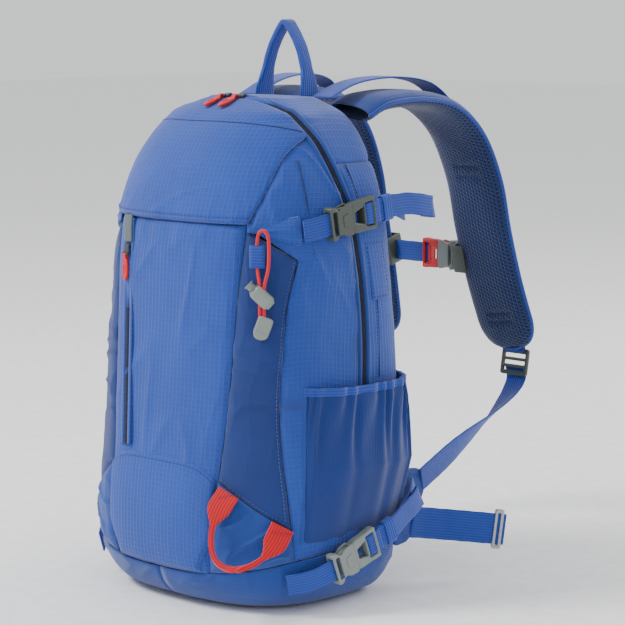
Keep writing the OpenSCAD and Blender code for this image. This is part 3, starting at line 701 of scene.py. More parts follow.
def elastic():
    """The elastic's own spline, the end that grips both strands, and the lock with its button."""
    points = hold((spline(CORD_PATH, 5), []))[0] * MM
    data = bpy.data.curves.new("pole_elastic", "CURVE")
    data.dimensions, data.bevel_depth, data.bevel_resolution = "3D", 1.5 * MM, 4
    data.use_fill_caps = True
    line = data.splines.new("POLY")
    line.points.add(len(points) - 1)
    for point, place in zip(line.points, points):
        point.co = (*place, 1)
    data.materials.append(MATERIALS["red_webbing"])
    obj = new_object("pole_elastic", data)
    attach(obj, "bag")
    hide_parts("pole_bungee")
    end = moulding([rounded([(-12, -7), (6, -7), (9, -2), (9, 4), (4, 7), (-12, 7)], 3.5)], 6.5, 1.6)
    slot_line = block((0.8, 11, 0.8), (2, 0, 3.2), 0.2)
    clip = put(join(end, slot_line), (0.35, 0, -0.94), (0.94, 0, 0.35), (0, 1, 0), (-5, 10, -41))
    made = solid("elastic_end_clip", hold(clip), "buckle_grey", "bag")
    turn = math.radians(-133)
    axes = ((math.sin(turn), 0, math.cos(turn)), (math.cos(turn), 0, -math.sin(turn)), (0, 1, 0))
    barrel = join(block((21, 13, 11), (0, 0, 0), 3.0, 4.5), bar((-10.4, 0, 0), (-11.2, 0, 0), 5.2),
                  bar((9.6, 0, 0), (11.4, 0, 0), 4.6))
    cap = join(bar((-16, 0, 0), (-11.4, 0, 0), 3.8, 24), bar((-16.8, 0, 0), (-15.6, 0, 0), 4.8, 24))
    for name, part, node_name in (("cord_lock_barrel", barrel, "cord_lock"),
                                  ("cord_lock_push_button", cap, "cord_lock_button")):
        placed = hold(put(part, *axes, (-5, 10, -12)))
        made += solid(name, placed, "buckle_grey", node_name, [node_name])


elastic()

# ---- Fabric panels ----


def grid(rows, cols):
    v, u = np.meshgrid(np.linspace(0, 1, rows), np.linspace(0, 1, cols), indexing="ij")
    return u, v


def base():
    """The base: a plain wrap with soft folds round the foot, and the bottom that it is sewn to."""
    u, v = grid(26, 241)
    angle = lerp(-90, 270, u)
    folds = lambda p, near: (1.9 * creases(p, (0.8, -0.4, 0.45), 70, 20, 5.0) * smooth(p[..., 2], 6, 26)
                             * np.exp(-near / 40))
    panel("base_wrap_cloth", angle, wrap_top(angle) * v, "plain_blue", ["base_wrap"], edges="t", soft=0.9,
          extra=folds, sink=1.0, puff=0.8, seed=2)
    u, v = grid(26, 121)
    ring = outline(lerp(-90, 270, u), np.zeros_like(u))
    centre = np.array([0, -9, 0])
    points = centre + (ring - centre) * (1.0 - 0.985 * v)[..., None]
    points[..., 2] = 0.5 + 1.2 * v + 0.4 * np.abs(ripple(points, 30, 1.7))
    verts, faces = thick_sheet(points[::-1], 1.4)
    verts[:, 2] = np.clip(verts[:, 2], LOWEST, 6)
    make("bottom_cloth", verts, flipped(faces), "plain_blue", "bag", verts[:, :2], ["base_plate"])


def front():
    """Front panel with its foot patch."""
    u, v = grid(150, 110)
    z = lerp(FRONT_LOW_Z, HOOD_Z + 1, v)
    half = 90 + curve(FRONT_SEAM, z)
    sag = lambda p, near: (2.2 * np.exp(-((p[..., 2] - 342) / 9)**2) * np.sin(p[..., 0] / 8.5)**2 * 0.3
                           + 1.3 * creases(p, (0.25, 0, 1), 130, 34, 9.0) * smooth(near, 4, 30) - 0.6)
    angle = -90 + half * lerp(-1, 1, u)
    panel("front_cloth", angle, z, "ripstop_blue", ["front_panel"], extra=sag, puff=1.8, seed=1)
    rows = np.linspace(0.02, 0.98, 120)
    stitches("front_side_stitches", [on_panel("front_cloth", k, rows) for k in (0.035, 0.965)])
    u, v = grid(70, 80)
    side = 2 * u - 1
    z = lerp(38, 138 - 15 * np.abs(side)**3.4, v)
    angle = -90 + side * lerp(17.5, 23.5, smooth(v, 0, 0.45))
    panel("foot_patch_cloth", angle, z, "ripstop_blue", ["lower_patch"], puff=3.4, sink=-0.6, seam=2.5,
          soft=0.6, seed=4, thick=1.2)
    rim = np.linspace(0, 1, 80)
    arch = [on_panel("foot_patch_cloth", *uv) for uv in ((rim, 0.955), (0.04, rim[:60]), (0.96, rim[:60]))]
    stitches("foot_patch_stitches", arch)


def hood():
    """Ripstop hood over the top of the front, with a hemmed lower edge."""
    u, v = grid(110, 130)
    z = lerp(HOOD_Z, BODY_H - 2.4, v**0.85)
    edge = np.minimum(curve(HOOD_SEAM, z), angle_at(zip_y(z) - 3.4, z))
    angle = -90 + (90 + edge) * lerp(-1, 1, u)
    rise = z - HOOD_Z
    hem = lambda p, near: (2.0 * smooth(near, 0, 2.5) + 1.5 * np.exp(-(rise / 12)**2)
                           + 1.4 * creases(p, (1, 0.2, 0.15), 90, 26, 12.0) * np.exp(-rise / 26))
    panel("hood_cloth", angle, z, "ripstop_blue", ["hood_panel"], extra=hem, puff=1.2, sink=0.4, soft=1.0,
          seed=6)
    row = np.linspace(0.02, 0.98, 150)
    stitches("hood_hem_stitches", [on_panel("hood_cloth", row, 0.03)])
    top = on_panel("hood_cloth", row, lerp(0.80, 0.70, np.abs(2 * row - 1)**3), 0.1)
    cord_tube("hood_top_seam", top, 0.5, "dark_thread")


def corners():
    """Navy corner panels, with the plain lower corners under their slanted seam."""
    u, v = grid(120, 44)
    z = lerp(lerp(122, 78, u), lerp(346, 319, u), v)
    angle = lerp(curve(FRONT_SEAM, z), curve(STRIP_SEAM, z), u)
    crease = lambda p, near: (1.8 * creases(p, (0.9, 0.3, -0.15), 80, 17, 3.0) * smooth(p[..., 2], 120, 200)
                              * (1 - smooth(p[..., 2], 230, 330)) - 1.2)
    panel("corner_cloth_@", angle, z, "navy_fabric", ["corner_panel_@"], sides=True, extra=crease, soft=1.5,
          seed=8)
    row = np.linspace(0.02, 0.98, 60)
    stitches("corner_low_stitches_@", [on_panel("corner_cloth_@", row, 0.018)], "thread", sides=True)
    strip = on_panel("corner_cloth_@", 0.93, np.linspace(0.02, 0.98, 120))
    stitches("corner_strip_stitches_@", [strip], "thread", sides=True)
    u, v = grid(60, 60)
    z = lerp(wrap_top(lerp(-68.5, -26, u)), lerp(122, 78, u), v)
    angle = lerp(curve(FRONT_SEAM, z), curve(STRIP_SEAM, z), u)
    folds = lambda p, near: 2.4 * creases(p, (0.75, 0.45, 0.35), 60, 18, 1.0) * smooth(near, 0, 12)
    panel("lower_corner_cloth_@", angle, z, "plain_blue", ["lower_corner_@"], sides=True, extra=folds, soft=1.4,
          seed=9)


REAR_SEAM = [(206, 35.5), (250, 37.5), (293, 36.7), (330, 32), (371, 25), (398, 19.5)]
SIDE_SEAM = [(320, -35.5), (351, -37.2), (384, -35.7), (404, -33.5)]


def flanks():
    """Side panels and gussets with the seams across them, and the small reinforced patch on each gusset."""
    u, v = grid(190, 60)
    z = lerp(wrap_top(lerp(-26, BACK_SEAM, u)), 424, v)
    above = np.where(z < 347, lerp(-24, -51, (z - 318) / 29), curve(HOOD_SEAM, z))
    front_edge = np.where(z < 318, curve(STRIP_SEAM, z), above)
    back_edge = lerp(BACK_SEAM, angle_at(zip_y(z) - 3.4, z), smooth(z, 184, 200))
    dip = lambda p, near: (1.6 * creases(p, (0.1, 0.35, -1), 120, 26, 4.0) * smooth(p[..., 2], 200, 330)
                           - 1.4 * np.exp(-((p[..., 2] - 236) / 26)**2))
    panel("side_cloth_@", lerp(front_edge, back_edge, u), z, "ripstop_blue", ["side_panel_@"], sides=True,
          extra=dip, soft=1.6, seed=11, edges="lbt")
    u, v = grid(110, 40)
    z = lerp(186, YOKE_Z, v)
    front_edge = lerp(BACK_SEAM - 1, angle_at(zip_y(z) + 3.4, z), smooth(z, 184, 200))
    panel("gusset_cloth_@", lerp(front_edge, BACK_SEAM, u), z, "ripstop_blue", ["gusset_@"], sides=True,
          soft=1.2, seed=13, edges="rt")
    for name, line in (("rear", REAR_SEAM), ("side", SIDE_SEAM)):
        z = np.linspace(line[0][0], line[-1][0], 90)
        path = skin(angle_at(curve(line, z), z), z, 1.9)
        cord_tube(name + "_seam_@", path, 0.55, "dark_thread", sides=True)
        stitches(name + "_seam_stitches_@", [path + (0.6, -2.6, 0)], sides=True)
    u, v = grid(36, 24)
    z = lerp(276, 330, v)
    angle = angle_at(lerp(30, 56, u) - 0.1 * (z - 276), z)
    panel("port_patch_@", angle, z, "ripstop_blue", sides=True, puff=2.4, sink=-1.6, seam=2, soft=0.3,
          thick=1.0, seed=14)
    loop = np.linspace(0.06, 0.94, 30)
    edges = ((loop, 0.05), (0.94, loop), (loop[::-1], 0.95), (0.06, loop[::-1]))
    stitches("port_patch_stitches_@", [on_panel("port_patch_@", *uv) for uv in edges], sides=True)


def wings():
    """Ripstop wing on each side, from the hood's corner to the upper strap."""
    u, v = grid(36, 70)
    angle = lerp(-52.3, -23.5, u)
    z = lerp(lerp(343, 331, smooth(u, 0, 0.9)), lerp(350.5, 357, u), v)
    pull = lambda p, near: (3.0 * smooth(u, 0.2, 1) * (1 - (2 * v - 1)**4) + 1.6 * smooth(u, 0.6, 1)
                            + 0.8 * creases(p, (0.5, 0.8, 0.1), 60, 11, 3.0) * smooth(near, 2, 6))
    panel("strap_wing_cloth_@", angle, z, "ripstop_blue", sides=True, puff=2.0, sink=-0.8, seam=3, soft=0.4,
          thick=1.2, extra=pull, seed=15)
    row = np.linspace(0.03, 0.97, 60)
    lines = [on_panel("strap_wing_cloth_@", row, k) for k in (0.06, 0.94)]
    stitches("strap_wing_stitches_@", lines, sides=True)


def yoke():
    """Ripstop yoke over the top behind the zip, with a low crown where the bag is flat."""
    u, v = grid(70, 150)
    z = lerp(YOKE_Z, BODY_H, v**0.8)
    edge = lerp(angle_at(zip_y(z) + 3.4, z), -90, smooth(z, 449, 454.5))
    angle = lerp(edge, 180 - edge, u)
    ring = panel_points(angle, z, seed=17)
    centre = np.array([0, 22, BODY_H + 2.4])
    share = np.linspace(0, 0.97, 16)[1:, None, None]
    crown = lerp(ring[-1][None], centre, share)
    crown[..., 2] = lerp(ring[-1][None, :, 2], BODY_H + 3.2, np.sin(share[..., 0] * math.pi / 2))
    points = np.concatenate([ring, crown])
    PANELS["yoke_cloth"] = points
    verts, faces = thick_sheet(points, 1.6)
    make("yoke_cloth", verts, faces, "ripstop_blue", "bag", verts[:, :2], ["top_yoke"])


def panel_points(angle, z, seed):
    """Outer points of a softly uneven panel that is calm at its edges."""
    base = outline(angle, z)
    near = edge_distance(base, "lrb")
    rise = -1.3 + 2.6 * (1 - np.exp(-near / 5)) + (1 - np.exp(-near / 14)) * 1.0 * ripple(base, 50, seed)
    rise = rise + zip_lift(z) * np.exp(-((base[..., 1] - zip_y(z)) / 24)**2)
    return base + rise[..., None] * normals_at(angle, z)


def pockets():
    """Stretch pockets with gathers under a light binding."""
    u, v = grid(110, 150)
    angle, z = lerp(-24, 45, u), lerp(66, 204 - 3 * np.sin(math.pi * u), v)
    sway = 2.4 * np.sin(5 * u + 1.3) + 1.6 * np.sin(17 * u)
    fold = np.sin(2 * math.pi * (17 * u + 0.35 * sway + 0.8 * np.sin(3 * v)))
    long_fold = np.sin(2 * math.pi * (6 * u + 0.25 * sway))
    middle = np.sin(math.pi * u)
    gathers = (1.9 * fold * smooth(v, 0.35, 0.9) + 1.8 * long_fold * np.sin(math.pi * v)**0.7) * middle**0.4
    gathers = gathers - 1.6 * smooth(v, 0.9, 1.0) * middle
    bulge = 17 * middle**0.8 * np.minimum(v * 2.2, 1.25 - 0.45 * v)
    base = skin(angle, z, 0.9 + bulge + gathers)
    PANELS["pocket_@"] = base
    sheet("pocket_stretch_@", base, 1.2, "stretch_navy", ["bottle_pocket_@"], True)
    edge = on_panel("pocket_@", np.linspace(0, 1, 150), 0.985, -0.3)
    webbing("pocket_binding_@", edge, (0, 0, 1), 7.5, 2.6, "webbing_blue", sides=True, step=2, wobble=0.0)
    tape = on_panel("pocket_@", 0.006, np.linspace(0, 1, 60), 0.2)
    webbing("pocket_front_tape_@", tape, unit((1, 1, 0)), 4, 1.2, "plain_blue", sides=True)


def back():
    """Back panel and the crowned mesh pads that rest on the wearer."""
    u, v = grid(90, 60)
    z = lerp(BACK_LOW_Z, YOKE_Z, v)
    panel("back_cloth", lerp(BACK_SEAM, 180 - BACK_SEAM, u), z, "navy_fabric", ["back_panel"], soft=0.8,
          seed=19, lift=False)

    def pad(name, a0, a1, z0, z1, replaces=(), sides=False):
        u, v = grid(100, 60)
        corner = 1 - 0.10 * np.abs(2 * v - 1)**8
        angle = (a0 + a1) / 2 + (a1 - a0) / 2 * (2 * u - 1) * corner
        zz = lerp(z0, z1, v)
        welt = lambda p, near: -1.5 * np.exp(-((zz - (z0 + z1) / 2) / 3)**2)
        for obj in panel(name, angle, zz, "spacer_mesh", replaces, sides, puff=7.5, sink=-0.4, seam=7, soft=0.5,
                         thick=2, extra=welt, seed=21, lift=False):
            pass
        a, b = np.linspace(0, 1, 40), np.linspace(0, 1, 60)
        rim = np.concatenate([on_panel(name, *uv) for uv in ((a, 0), (1, b), (a[::-1], 1), (0, b[::-1]))])
        cord_tube(name.replace("pad", "piping"), rim, 1.5, "webbing_blue", sides=sides)

    pad("back_pad_@", 57, 86.5, 112, 378, sides=True)
    pad("lumbar_pad", 57, 123, 42, 104, ["back_pads"])


base()
front()
hood()
corners()
flanks()
wings()
yoke()
pockets()
back()

# ---- Zips ----

ARCH = np.array([(1, 0, 0), (0, -math.sin(TILT), math.cos(TILT)), (0, -math.cos(TILT), -math.sin(TILT))])
PIN = (0, 3.8, 6.2)


def pitched(angle):
    """Axes turned about x by an angle in radians."""
    return (1, 0, 0), (0, math.cos(angle), math.sin(angle)), (0, -math.sin(angle), math.cos(angle))


def turned(part, order, signs=(1, 1, 1)):
    """Reorders and reverses the axes of a part, and turns its faces over where that mirrors it."""
    verts, faces = part
    mirrors = np.linalg.det(np.eye(3)[order] * signs) < 0
    return verts[:, order] * signs, flipped(faces) if mirrors else faces


ARCH_CENTRE = np.array([0, float(zip_plane(ZIP_CENTRE_Z)), ZIP_CENTRE_Z])


def arch_point(angle, off=0.0, forward=0.0):
    """Point on the zip's arch at degrees from its top, off it and forward of its middle."""
    a = math.radians(angle)
    local = np.array([(ZIP_R + off) * math.sin(a), (ZIP_R + off) * math.cos(a), forward])
    return local @ ARCH + ARCH_CENTRE


def arch_frame(angle):
    """Axes on the arch: x along the zip, y up off it and z forwards."""
    a = math.radians(angle)
    return np.array([(math.cos(a), -math.sin(a), 0), (math.sin(a), math.cos(a), 0), (0, 0, 1)]) @ ARCH


def zip_path(off):
    """The whole zip from the foot of its left side over the top to the foot of its right side."""
    low = np.arange(198, 430, 14.0)
    right = [skin(angle_at(zip_y(z), z), z, off + 1.6) for z in low]
    left = [p * (-1, 1, 1) for p in right]
    arch = [arch_point(a, off) for a in np.linspace(2 - ZIP_END, ZIP_END - 2, 15)]
    return spline(left + arch + right[::-1], 4)


def zip_coil(name, path, across, length):
    """Two rows of short teeth across a zip's middle line."""
    rows = [path + k * across for k in (0.75, -0.75)]
    stitches(name, rows, "coil", pitch=1.5, length=length, width=1.0, height=0.7, across=True)


def main_zip():
    """Dark tape with a coil down its middle, between two fabric lips."""
    across = -ARCH[2]
    webbing("main_zip_tape", zip_path(0.3), across, 9.4, 1.4, "zip_tape", replaces=["main_zip"], wobble=0.0)
    zip_coil("main_zip_coil", zip_path(1.0), across, 2.2)
    for name, shift, radius in (("zip_lip_front", -5.4, 2.1), ("zip_lip_back", 5.4, 2.6)):
        cord_tube(name, zip_path(0.6) + shift * across, radius, "plain_blue", step=3)


def slider_part():
    """Zip slider with x across, y off the tape and z forwards, and a bridge for the puller's pin."""
    shape = rounded([(-4.4, -4), (4.4, -4), (3.4, 1), (4.4, 4), (-4.4, 4), (-3.4, 1)], 1.2)
    body = moulding([shape], 3.2, 0.7, 2.2)
    ears = [block((1.5, 2.6, 3.8), (x, 3.8, 5.6), 0.4) for x in (-3.7, 3.7)]
    return join(turned(body, [0, 2, 1], (1, 1, -1)), *ears, bar((-4.1, 3.8, 6.2), (4.1, 3.8, 6.2), 1.0))


def puller_part():
    """Moulded grip from the pin along +z, with a raised rim and three grip ribs."""
    shape = rounded([(-2.2, 2.4), (2.2, 2.4), (4, 7), (4.3, 17), (1.6, 23.4), (-1.6, 23.4), (-4.3, 17),
                     (-4, 7)], 2.2)
    rim = moulding([shape, rect(-1.9, 9, 1.9, 17, 1.5)], 2.5, 0.8)
    plate = moulding([rect(-3, 5, 3, 20, 1)], 1.4, 0.4)
    ribs = [block((3.4, 0.8, 0.7), (0, y, 0.75 * s), 0.2, 0.3) for y in (11, 13, 15) for s in (1, -1)]
    eye = moulding([rect(-2.1, -2.1, 2.1, 4, 2.0), rect(-1.15, -1.15, 1.15, 1.15, 1.1)], 4.6, 0.4)
    return join(turned(join(rim, plate, *ribs), [0, 2, 1]), turned(eye, [2, 0, 1]))


def slider(shell, grip, body, puller, axes, at, droop=0.0):
    """One slider, and its puller that droops by an angle in radians."""
    solid(shell, put(slider_part(), *axes, at), "slider_grey", body, [body])
    hung = put(puller_part(), *pitched(droop), PIN)
    solid(grip, put(hung, *axes, at), "red_plastic", puller, [puller])


def sliders():
    """The two sliders that meet at the top, and the one on the front pocket."""
    top = ZIP_T / 2
    for side, angle in zip(SIDES, (SLIDER_ANGLE, -SLIDER_ANGLE)):
        slider("slider_body_" + side, "slider_grip_" + side, "main_slider_" + side, "main_puller_" + side,
               arch_frame(angle), arch_point(angle, top), math.radians(6))
    start = POCKET_TOP + 28 * POCKET_AXES[2] + top * POCKET_AXES[1]
    slider("pocket_slider_body", "pocket_slider_grip", "pocket_slider", "pocket_puller", POCKET_AXES, start)


POCKET_TOP = outline(-112.5, 348) + (0, -1.6, 0)
POCKET_LOW = outline(-103.8, 142) + (0, -1.6, 0)
pocket_run = unit(POCKET_LOW - POCKET_TOP)
pocket_side = unit(np.cross(normals_at(-108, 245), pocket_run))
POCKET_AXES = (pocket_side, np.cross(pocket_run, pocket_side), pocket_run)


def pocket_zip():
    """Straight zip of the front pocket between two ripstop lips, with a ribbon garage over its upper end."""
    side, out, run = POCKET_AXES
    length = np.linalg.norm(POCKET_LOW - POCKET_TOP)
    line = [POCKET_TOP + run * t + out * 0.1 for t in (0, length / 2, length)]
    webbing("pocket_zip_tape", line, side, 8.6, 1.4, "zip_tape", replaces=["pocket_zip"], wobble=0.0)
    zip_coil("pocket_zip_coil", np.array(line) + out * 0.9, side, 2.0)
    for k, shift in (("near", -5.6), ("far", 5.6)):
        lip = [p + shift * side - out * 0.4 for p in line]
        webbing("pocket_zip_lip_" + k, lip, side, 4.6, 3.4, "ripstop_blue", wobble=0.1, bulge=0.3)
        row = [p + side * math.copysign(2.6, shift) + out * 1.4 for p in lip]
        stitches("pocket_zip_stitches_" + k, [row])
    top = [POCKET_TOP + run * t + out * (2.5 - 0.4 * abs(t - 11) / 11) for t in (-3, 4, 11, 18, 22)]
    webbing("pocket_zip_garage_tab", top, side, 13.5, 1.8, "grey_ribbon", replaces=["pocket_zip_garage"],
            bulge=0.3)


main_zip()
pocket_zip()
sliders()

# ---- Shoulder straps ----

PAD_PATH = [(58, 78, 442), (62, 98, 451), (66, 140, 453), (70, 181, 444), (74, 215, 416), (77, 238, 371),
            (79, 250, 321), (82, 264, 271), (87, 277, 228), (91, 285, 204)]
PAD_W, PAD_T = 66, 14


def shoulder_pads():
    """Padded straps: woven outer face, spacer mesh against the wearer, and a bound edge between them."""
    path = spline(PAD_PATH, 16)
    n = len(path)
    s = np.linspace(0, 1, n)
    along = unit(np.gradient(path, axis=0))
    side = unit(np.array([1.0, 0, 0]) - along[:, :1] * along)
    out = np.cross(along, side)
    width = PAD_W * (1 - 0.45 * np.clip((s - 0.88) / 0.12, 0, 1)**2) * lerp(0.86, 1, np.clip(s * 5, 0, 1))
    thick = PAD_T * (1 - 0.5 * np.clip((s - 0.9) / 0.1, 0, 1)**2)
    x = np.linspace(-1, 1, 41)
    crown = (1 - np.abs(x)**3.2)**0.6
    darts = np.zeros((n, len(x)))
    for centre in (0.52, 0.545, 0.86, 0.885):
        darts += np.exp(-((s - centre) / 0.006)**2)[:, None] * np.clip(1.25 - (2.1 * np.abs(x - 0.05))**4, 0, 1)
    for face, look, sign in (("outer", "pad_fabric", -1), ("inner", "spacer_mesh", 1)):
        height = thick[:, None] * (0.5 * crown) * (1 - 0.42 * darts * (sign > 0))
        grid_points = (path[:, None] + x[None, :, None] * width[:, None, None] / 2 * side[:, None]
                       + sign * height[..., None] * out[:, None])
        if sign < 0:
            grid_points = grid_points[:, ::-1]
        grid_points = grid_points + 0.25 * ripple(grid_points, 18, 2.0)[..., None] * out[:, None]
        replaces = ["shoulder_pad_@"] if face == "outer" else ()
        for obj in sheet("shoulder_pad_" + face + "_@", grid_points, 1.5, look, replaces, True):
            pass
    edge_a = path + side * width[:, None] / 2
    edge_b = path - side * width[:, None] / 2
    t = np.linspace(0.1, 0.9, 9)[:, None]
    foot = lerp(edge_a[-1], edge_b[-1], t) + along[-1] * 5 * np.sin(math.pi * t)
    rim = np.concatenate([edge_a, foot, edge_b[::-1]])
    cord_tube("shoulder_pad_binding_@", rim, 2.3, "webbing_blue", sides=True)
    line = [path[:, None] + 0.86 * k * side[:, None] * width[:, None, None] / 2 for k in (-1, 1)]
    rows = [(q[:, 0] - out * thick[:, None] * 0.42)[8:-8] for q in line]
    stitches("shoulder_pad_stitches_@", rows, "thread", sides=True)
    held = slice(int(0.3 * n), int(0.62 * n))
    keeper = (path - out * (thick[:, None] * 0.5 + 1.0))[held]
    webbing("pad_daisy_strip_@", keeper, (1, 0, 0), 18, 1.4, sides=True)


LIFTER_PATH = [(47, 50, 456), (50, 86, 469), (58, 130, 473), (66, 172, 466), (71, 204, 442)]
HAUL_PATH = [(-29, 52, 448), (-27, 53, 470), (-18, 53, 499), (-5, 53, 520), (1, 53, 525), (7, 53, 520),
             (20, 53, 499), (28, 53, 470), (30, 52, 448)]
TAB_PATH = [(91, 290.2, 198.8), (90.6, 290.2, 206), (89.2, 289.2, 216), (87.2, 286.4, 230)]
STRAP_PATH = [(92, 289, 168), (96, 271, 154), (104, 232, 138), (110, 180, 120), (115, 140, 106), (118, 112, 96)]
LOCK_AT, LOCK_LEAN = np.array([91, 290, 196]), math.radians(-10)


def harness():
    """Haul loop, load lifters, the lower straps and the ladder locks that they thread."""
    share = np.abs(np.linspace(-1, 1, 21))
    flat = smooth(share, 0.55, 0.9)
    webbing("haul_loop_webbing", spline(HAUL_PATH, 6), (0, 1, 0), 13 + 12 * flat, 4.6 - 2.6 * flat,
            replaces=["haul_loop"], bulge=0.15, step=2)
    webbing("load_lifter_@", spline(LIFTER_PATH, 6), (1, 0, 0), 25, 1.8, replaces=["load_lifters"], sides=True)
    webbing("strap_tab_@", spline(TAB_PATH + [(85, 281, 240)], 4), (1, 0, 0), 22, 1.8, sides=True)
    ring = [LOCK_AT + 2.9 * np.array((0, math.cos(t), math.sin(t))) for t in np.linspace(-0.2, 3.3, 12)]
    webbing("strap_bar_loop_@", ring, (1, 0, 0), 22, 1.4, sides=True, step=0.8, wobble=0)
    flat, upright = np.array([1, 0, 0]), np.array([0.15, -0.35, 0.9])
    twist = [lerp(flat, upright, min(1, t * 1.3)) for t in np.linspace(0, 1, 12)]
    webbing("lower_strap_@", spline([(91.5, 288.5, 180)] + STRAP_PATH, 6), twist, 25, 1.7,
            replaces=["strap_webbing_@"], sides=True)
    holes = [rect(-13, y0, 13, y1, 1) for y0, y1 in ((-20.2, -16.6), (-13.4, -9.6), (-6.4, -2.4))]
    plate = moulding([rect(-16.5, -24, 16.5, 3, 3)] + holes, 3.6, 1.0)
    grips = [block((24, 0.9, 0.8), (0, -21.6 + k * 1.6, 1.9), 0.2, 0.3) for k in range(2)]
    upright = turned(join(plate, *grips), [0, 2, 1], (1, -1, 1))
    placed = put(upright, *pitched(LOCK_LEAN), LOCK_AT)
    solid("ladder_lock_frame_@", placed, "buckle_dark", "ladder_lock_@", ["ladder_lock_@"], True)


shoulder_pads()
harness()

# ---- Side-release buckles ----

BUCKLE_W, BUCKLE_L, SOCKET_SHARE, STRAP_W, STERNUM_L = 30, 56, 0.46, 20, 40
UPPER, LOWER, STERNUM = ((128, 2, 353), 86, 9), ((147, -14, 51), 86, 20), ((17, 258.4, 291), 180, 0)


def buckle_axes(at):
    """Axes of a buckle: x along the strap, y across it and z off the fabric."""
    yaw, pitch = math.radians(at[1]), math.radians(at[2])
    x = np.array((math.cos(yaw) * math.cos(pitch), math.sin(yaw) * math.cos(pitch), math.sin(pitch)))
    y = np.array((-math.cos(yaw) * math.sin(pitch), -math.sin(yaw) * math.sin(pitch), math.cos(pitch)))
    return x, y, np.cross(x, y)


def along(at, x):
    return np.array(at[0]) + x * buckle_axes(at)[0]


def mirrored(half, radius):
    """Rounded outline from the half of it above the x axis."""
    return rounded(half + [(x, -y) for x, y in reversed(half)], radius)


def socket_part(length=BUCKLE_L):
    """Socket: two horns round the webbing's bar, a waist, and a side window for each prong."""
    a, b, w = -length / 2, length * (SOCKET_SHARE - 0.5), BUCKLE_W / 2
    k = length / BUCKLE_L
    shell = mirrored([(a, w), (a + 5 * k, w), (a + 8 * k, w - 4), (a + 11.5 * k, w - 4.4),
                      (a + 15 * k, w - 1.6), (b - 2, w - 0.6), (b, w - 1.2)], 2.2)
    bar_slot = mirrored([(a + 2.6 * k, w - 4.4), (a + 7.6 * k, w - 4.4)], 0.8)
    plates = [moulding([shell, bar_slot], 2.1, 0.7, z) for z in (-3.95, 3.95)]
    fill = moulding([mirrored([(a + 9 * k, w - 5.2), (a + 11 * k, w - 5.2)], 0.8)], 6.4, 0.5)
    horns = [moulding([rect(a, y - 2, a + 6 * k, y + 2, 1.4)], 9.2, 1.2) for y in (-w + 2.2, w - 2.2)]
    rim = moulding([mirrored([(b - 2.6, w - 1), (b, w - 1.4)], 0.8),
                    mirrored([(b - 2.4, w - 4.2), (b + 0.4, w - 4.2)], 0.3)], 8.6, 0.6)
    ridge = moulding([mirrored([(a + 14 * k, 5), (b - 4, 7)], 1.6)], 1.2, 0.5, 5.1)
    return join(*plates, fill, *horns, rim, ridge)


def plug_part(length=BUCKLE_L):
    """Plug: a frame with the webbing's bars, two curved prongs and a guide between them."""
    b, c, w = length * (SOCKET_SHARE - 0.5) + 0.4, length / 2, BUCKLE_W / 2
    k = length / BUCKLE_L
    reach = length * SOCKET_SHARE - 8
    shell = mirrored([(b, w - 1.4), (b + 6 * k, w - 0.6), (c - 12 * k, w - 0.6), (c - 8 * k, w), (c, w)], 1.8)
    window = mirrored([(b + 4 * k, 4.6), (b + 15 * k, 7.6)], 1.2)
    slot_hole = mirrored([(c - 13 * k, w - 4.2), (c - 3.4 * k, w - 4.2)], 1.0)
    plate = moulding([shell, window, slot_hole], 8.4, 1.5)
    centre_bar = bar((c - 9 * k, -w + 3, 0.4), (c - 9 * k, w - 3, 0.4), 1.5)
    end_ribs = [block((0.8, BUCKLE_W - 9, 0.7), (c - 3.2 * k + t, 0, 4.2), 0.2, 0.3) for t in (0, 1.4)]
    prongs = []
    for s in (-1, 1):
        arm = [(b + 0.4, s * 6.4), (b + 0.4, s * 10.4), (b - reach * 0.45, s * 12.6),
               (b - reach * 0.85, s * 12.2), (b - reach, s * 9.2), (b - reach * 0.86, s * 8.6),
               (b - reach * 0.45, s * 8.8)]
        prongs.append(moulding([rounded(arm, 1.6)], 4.8, 1.0))
    tip = b - reach * 0.8
    guide = moulding([rounded([(b + 0.4, -1.8), (tip, -1.3), (tip, 1.3), (b + 0.4, 1.8)], 0.8)], 4, 0.7)
    return join(plate, centre_bar, *end_ribs, *prongs, guide)


def buckle(name, at, socket_look, plug_look, sides=True, length=BUCKLE_L):
    """A closed buckle as its two separate pieces."""
    tag = "_@" if sides else ""
    axes = buckle_axes(at)
    socket_body = "bag" if sides else "sternum_strap"
    solid(name + "_socket_moulding" + tag, put(socket_part(length), *axes, at[0]), socket_look, socket_body,
          [name + "_socket" + tag], sides)
    solid(name + "_plug_moulding" + tag, put(plug_part(length), *axes, at[0]), plug_look, name + "_plug" + tag,
          [name + "_plug" + tag], sides)


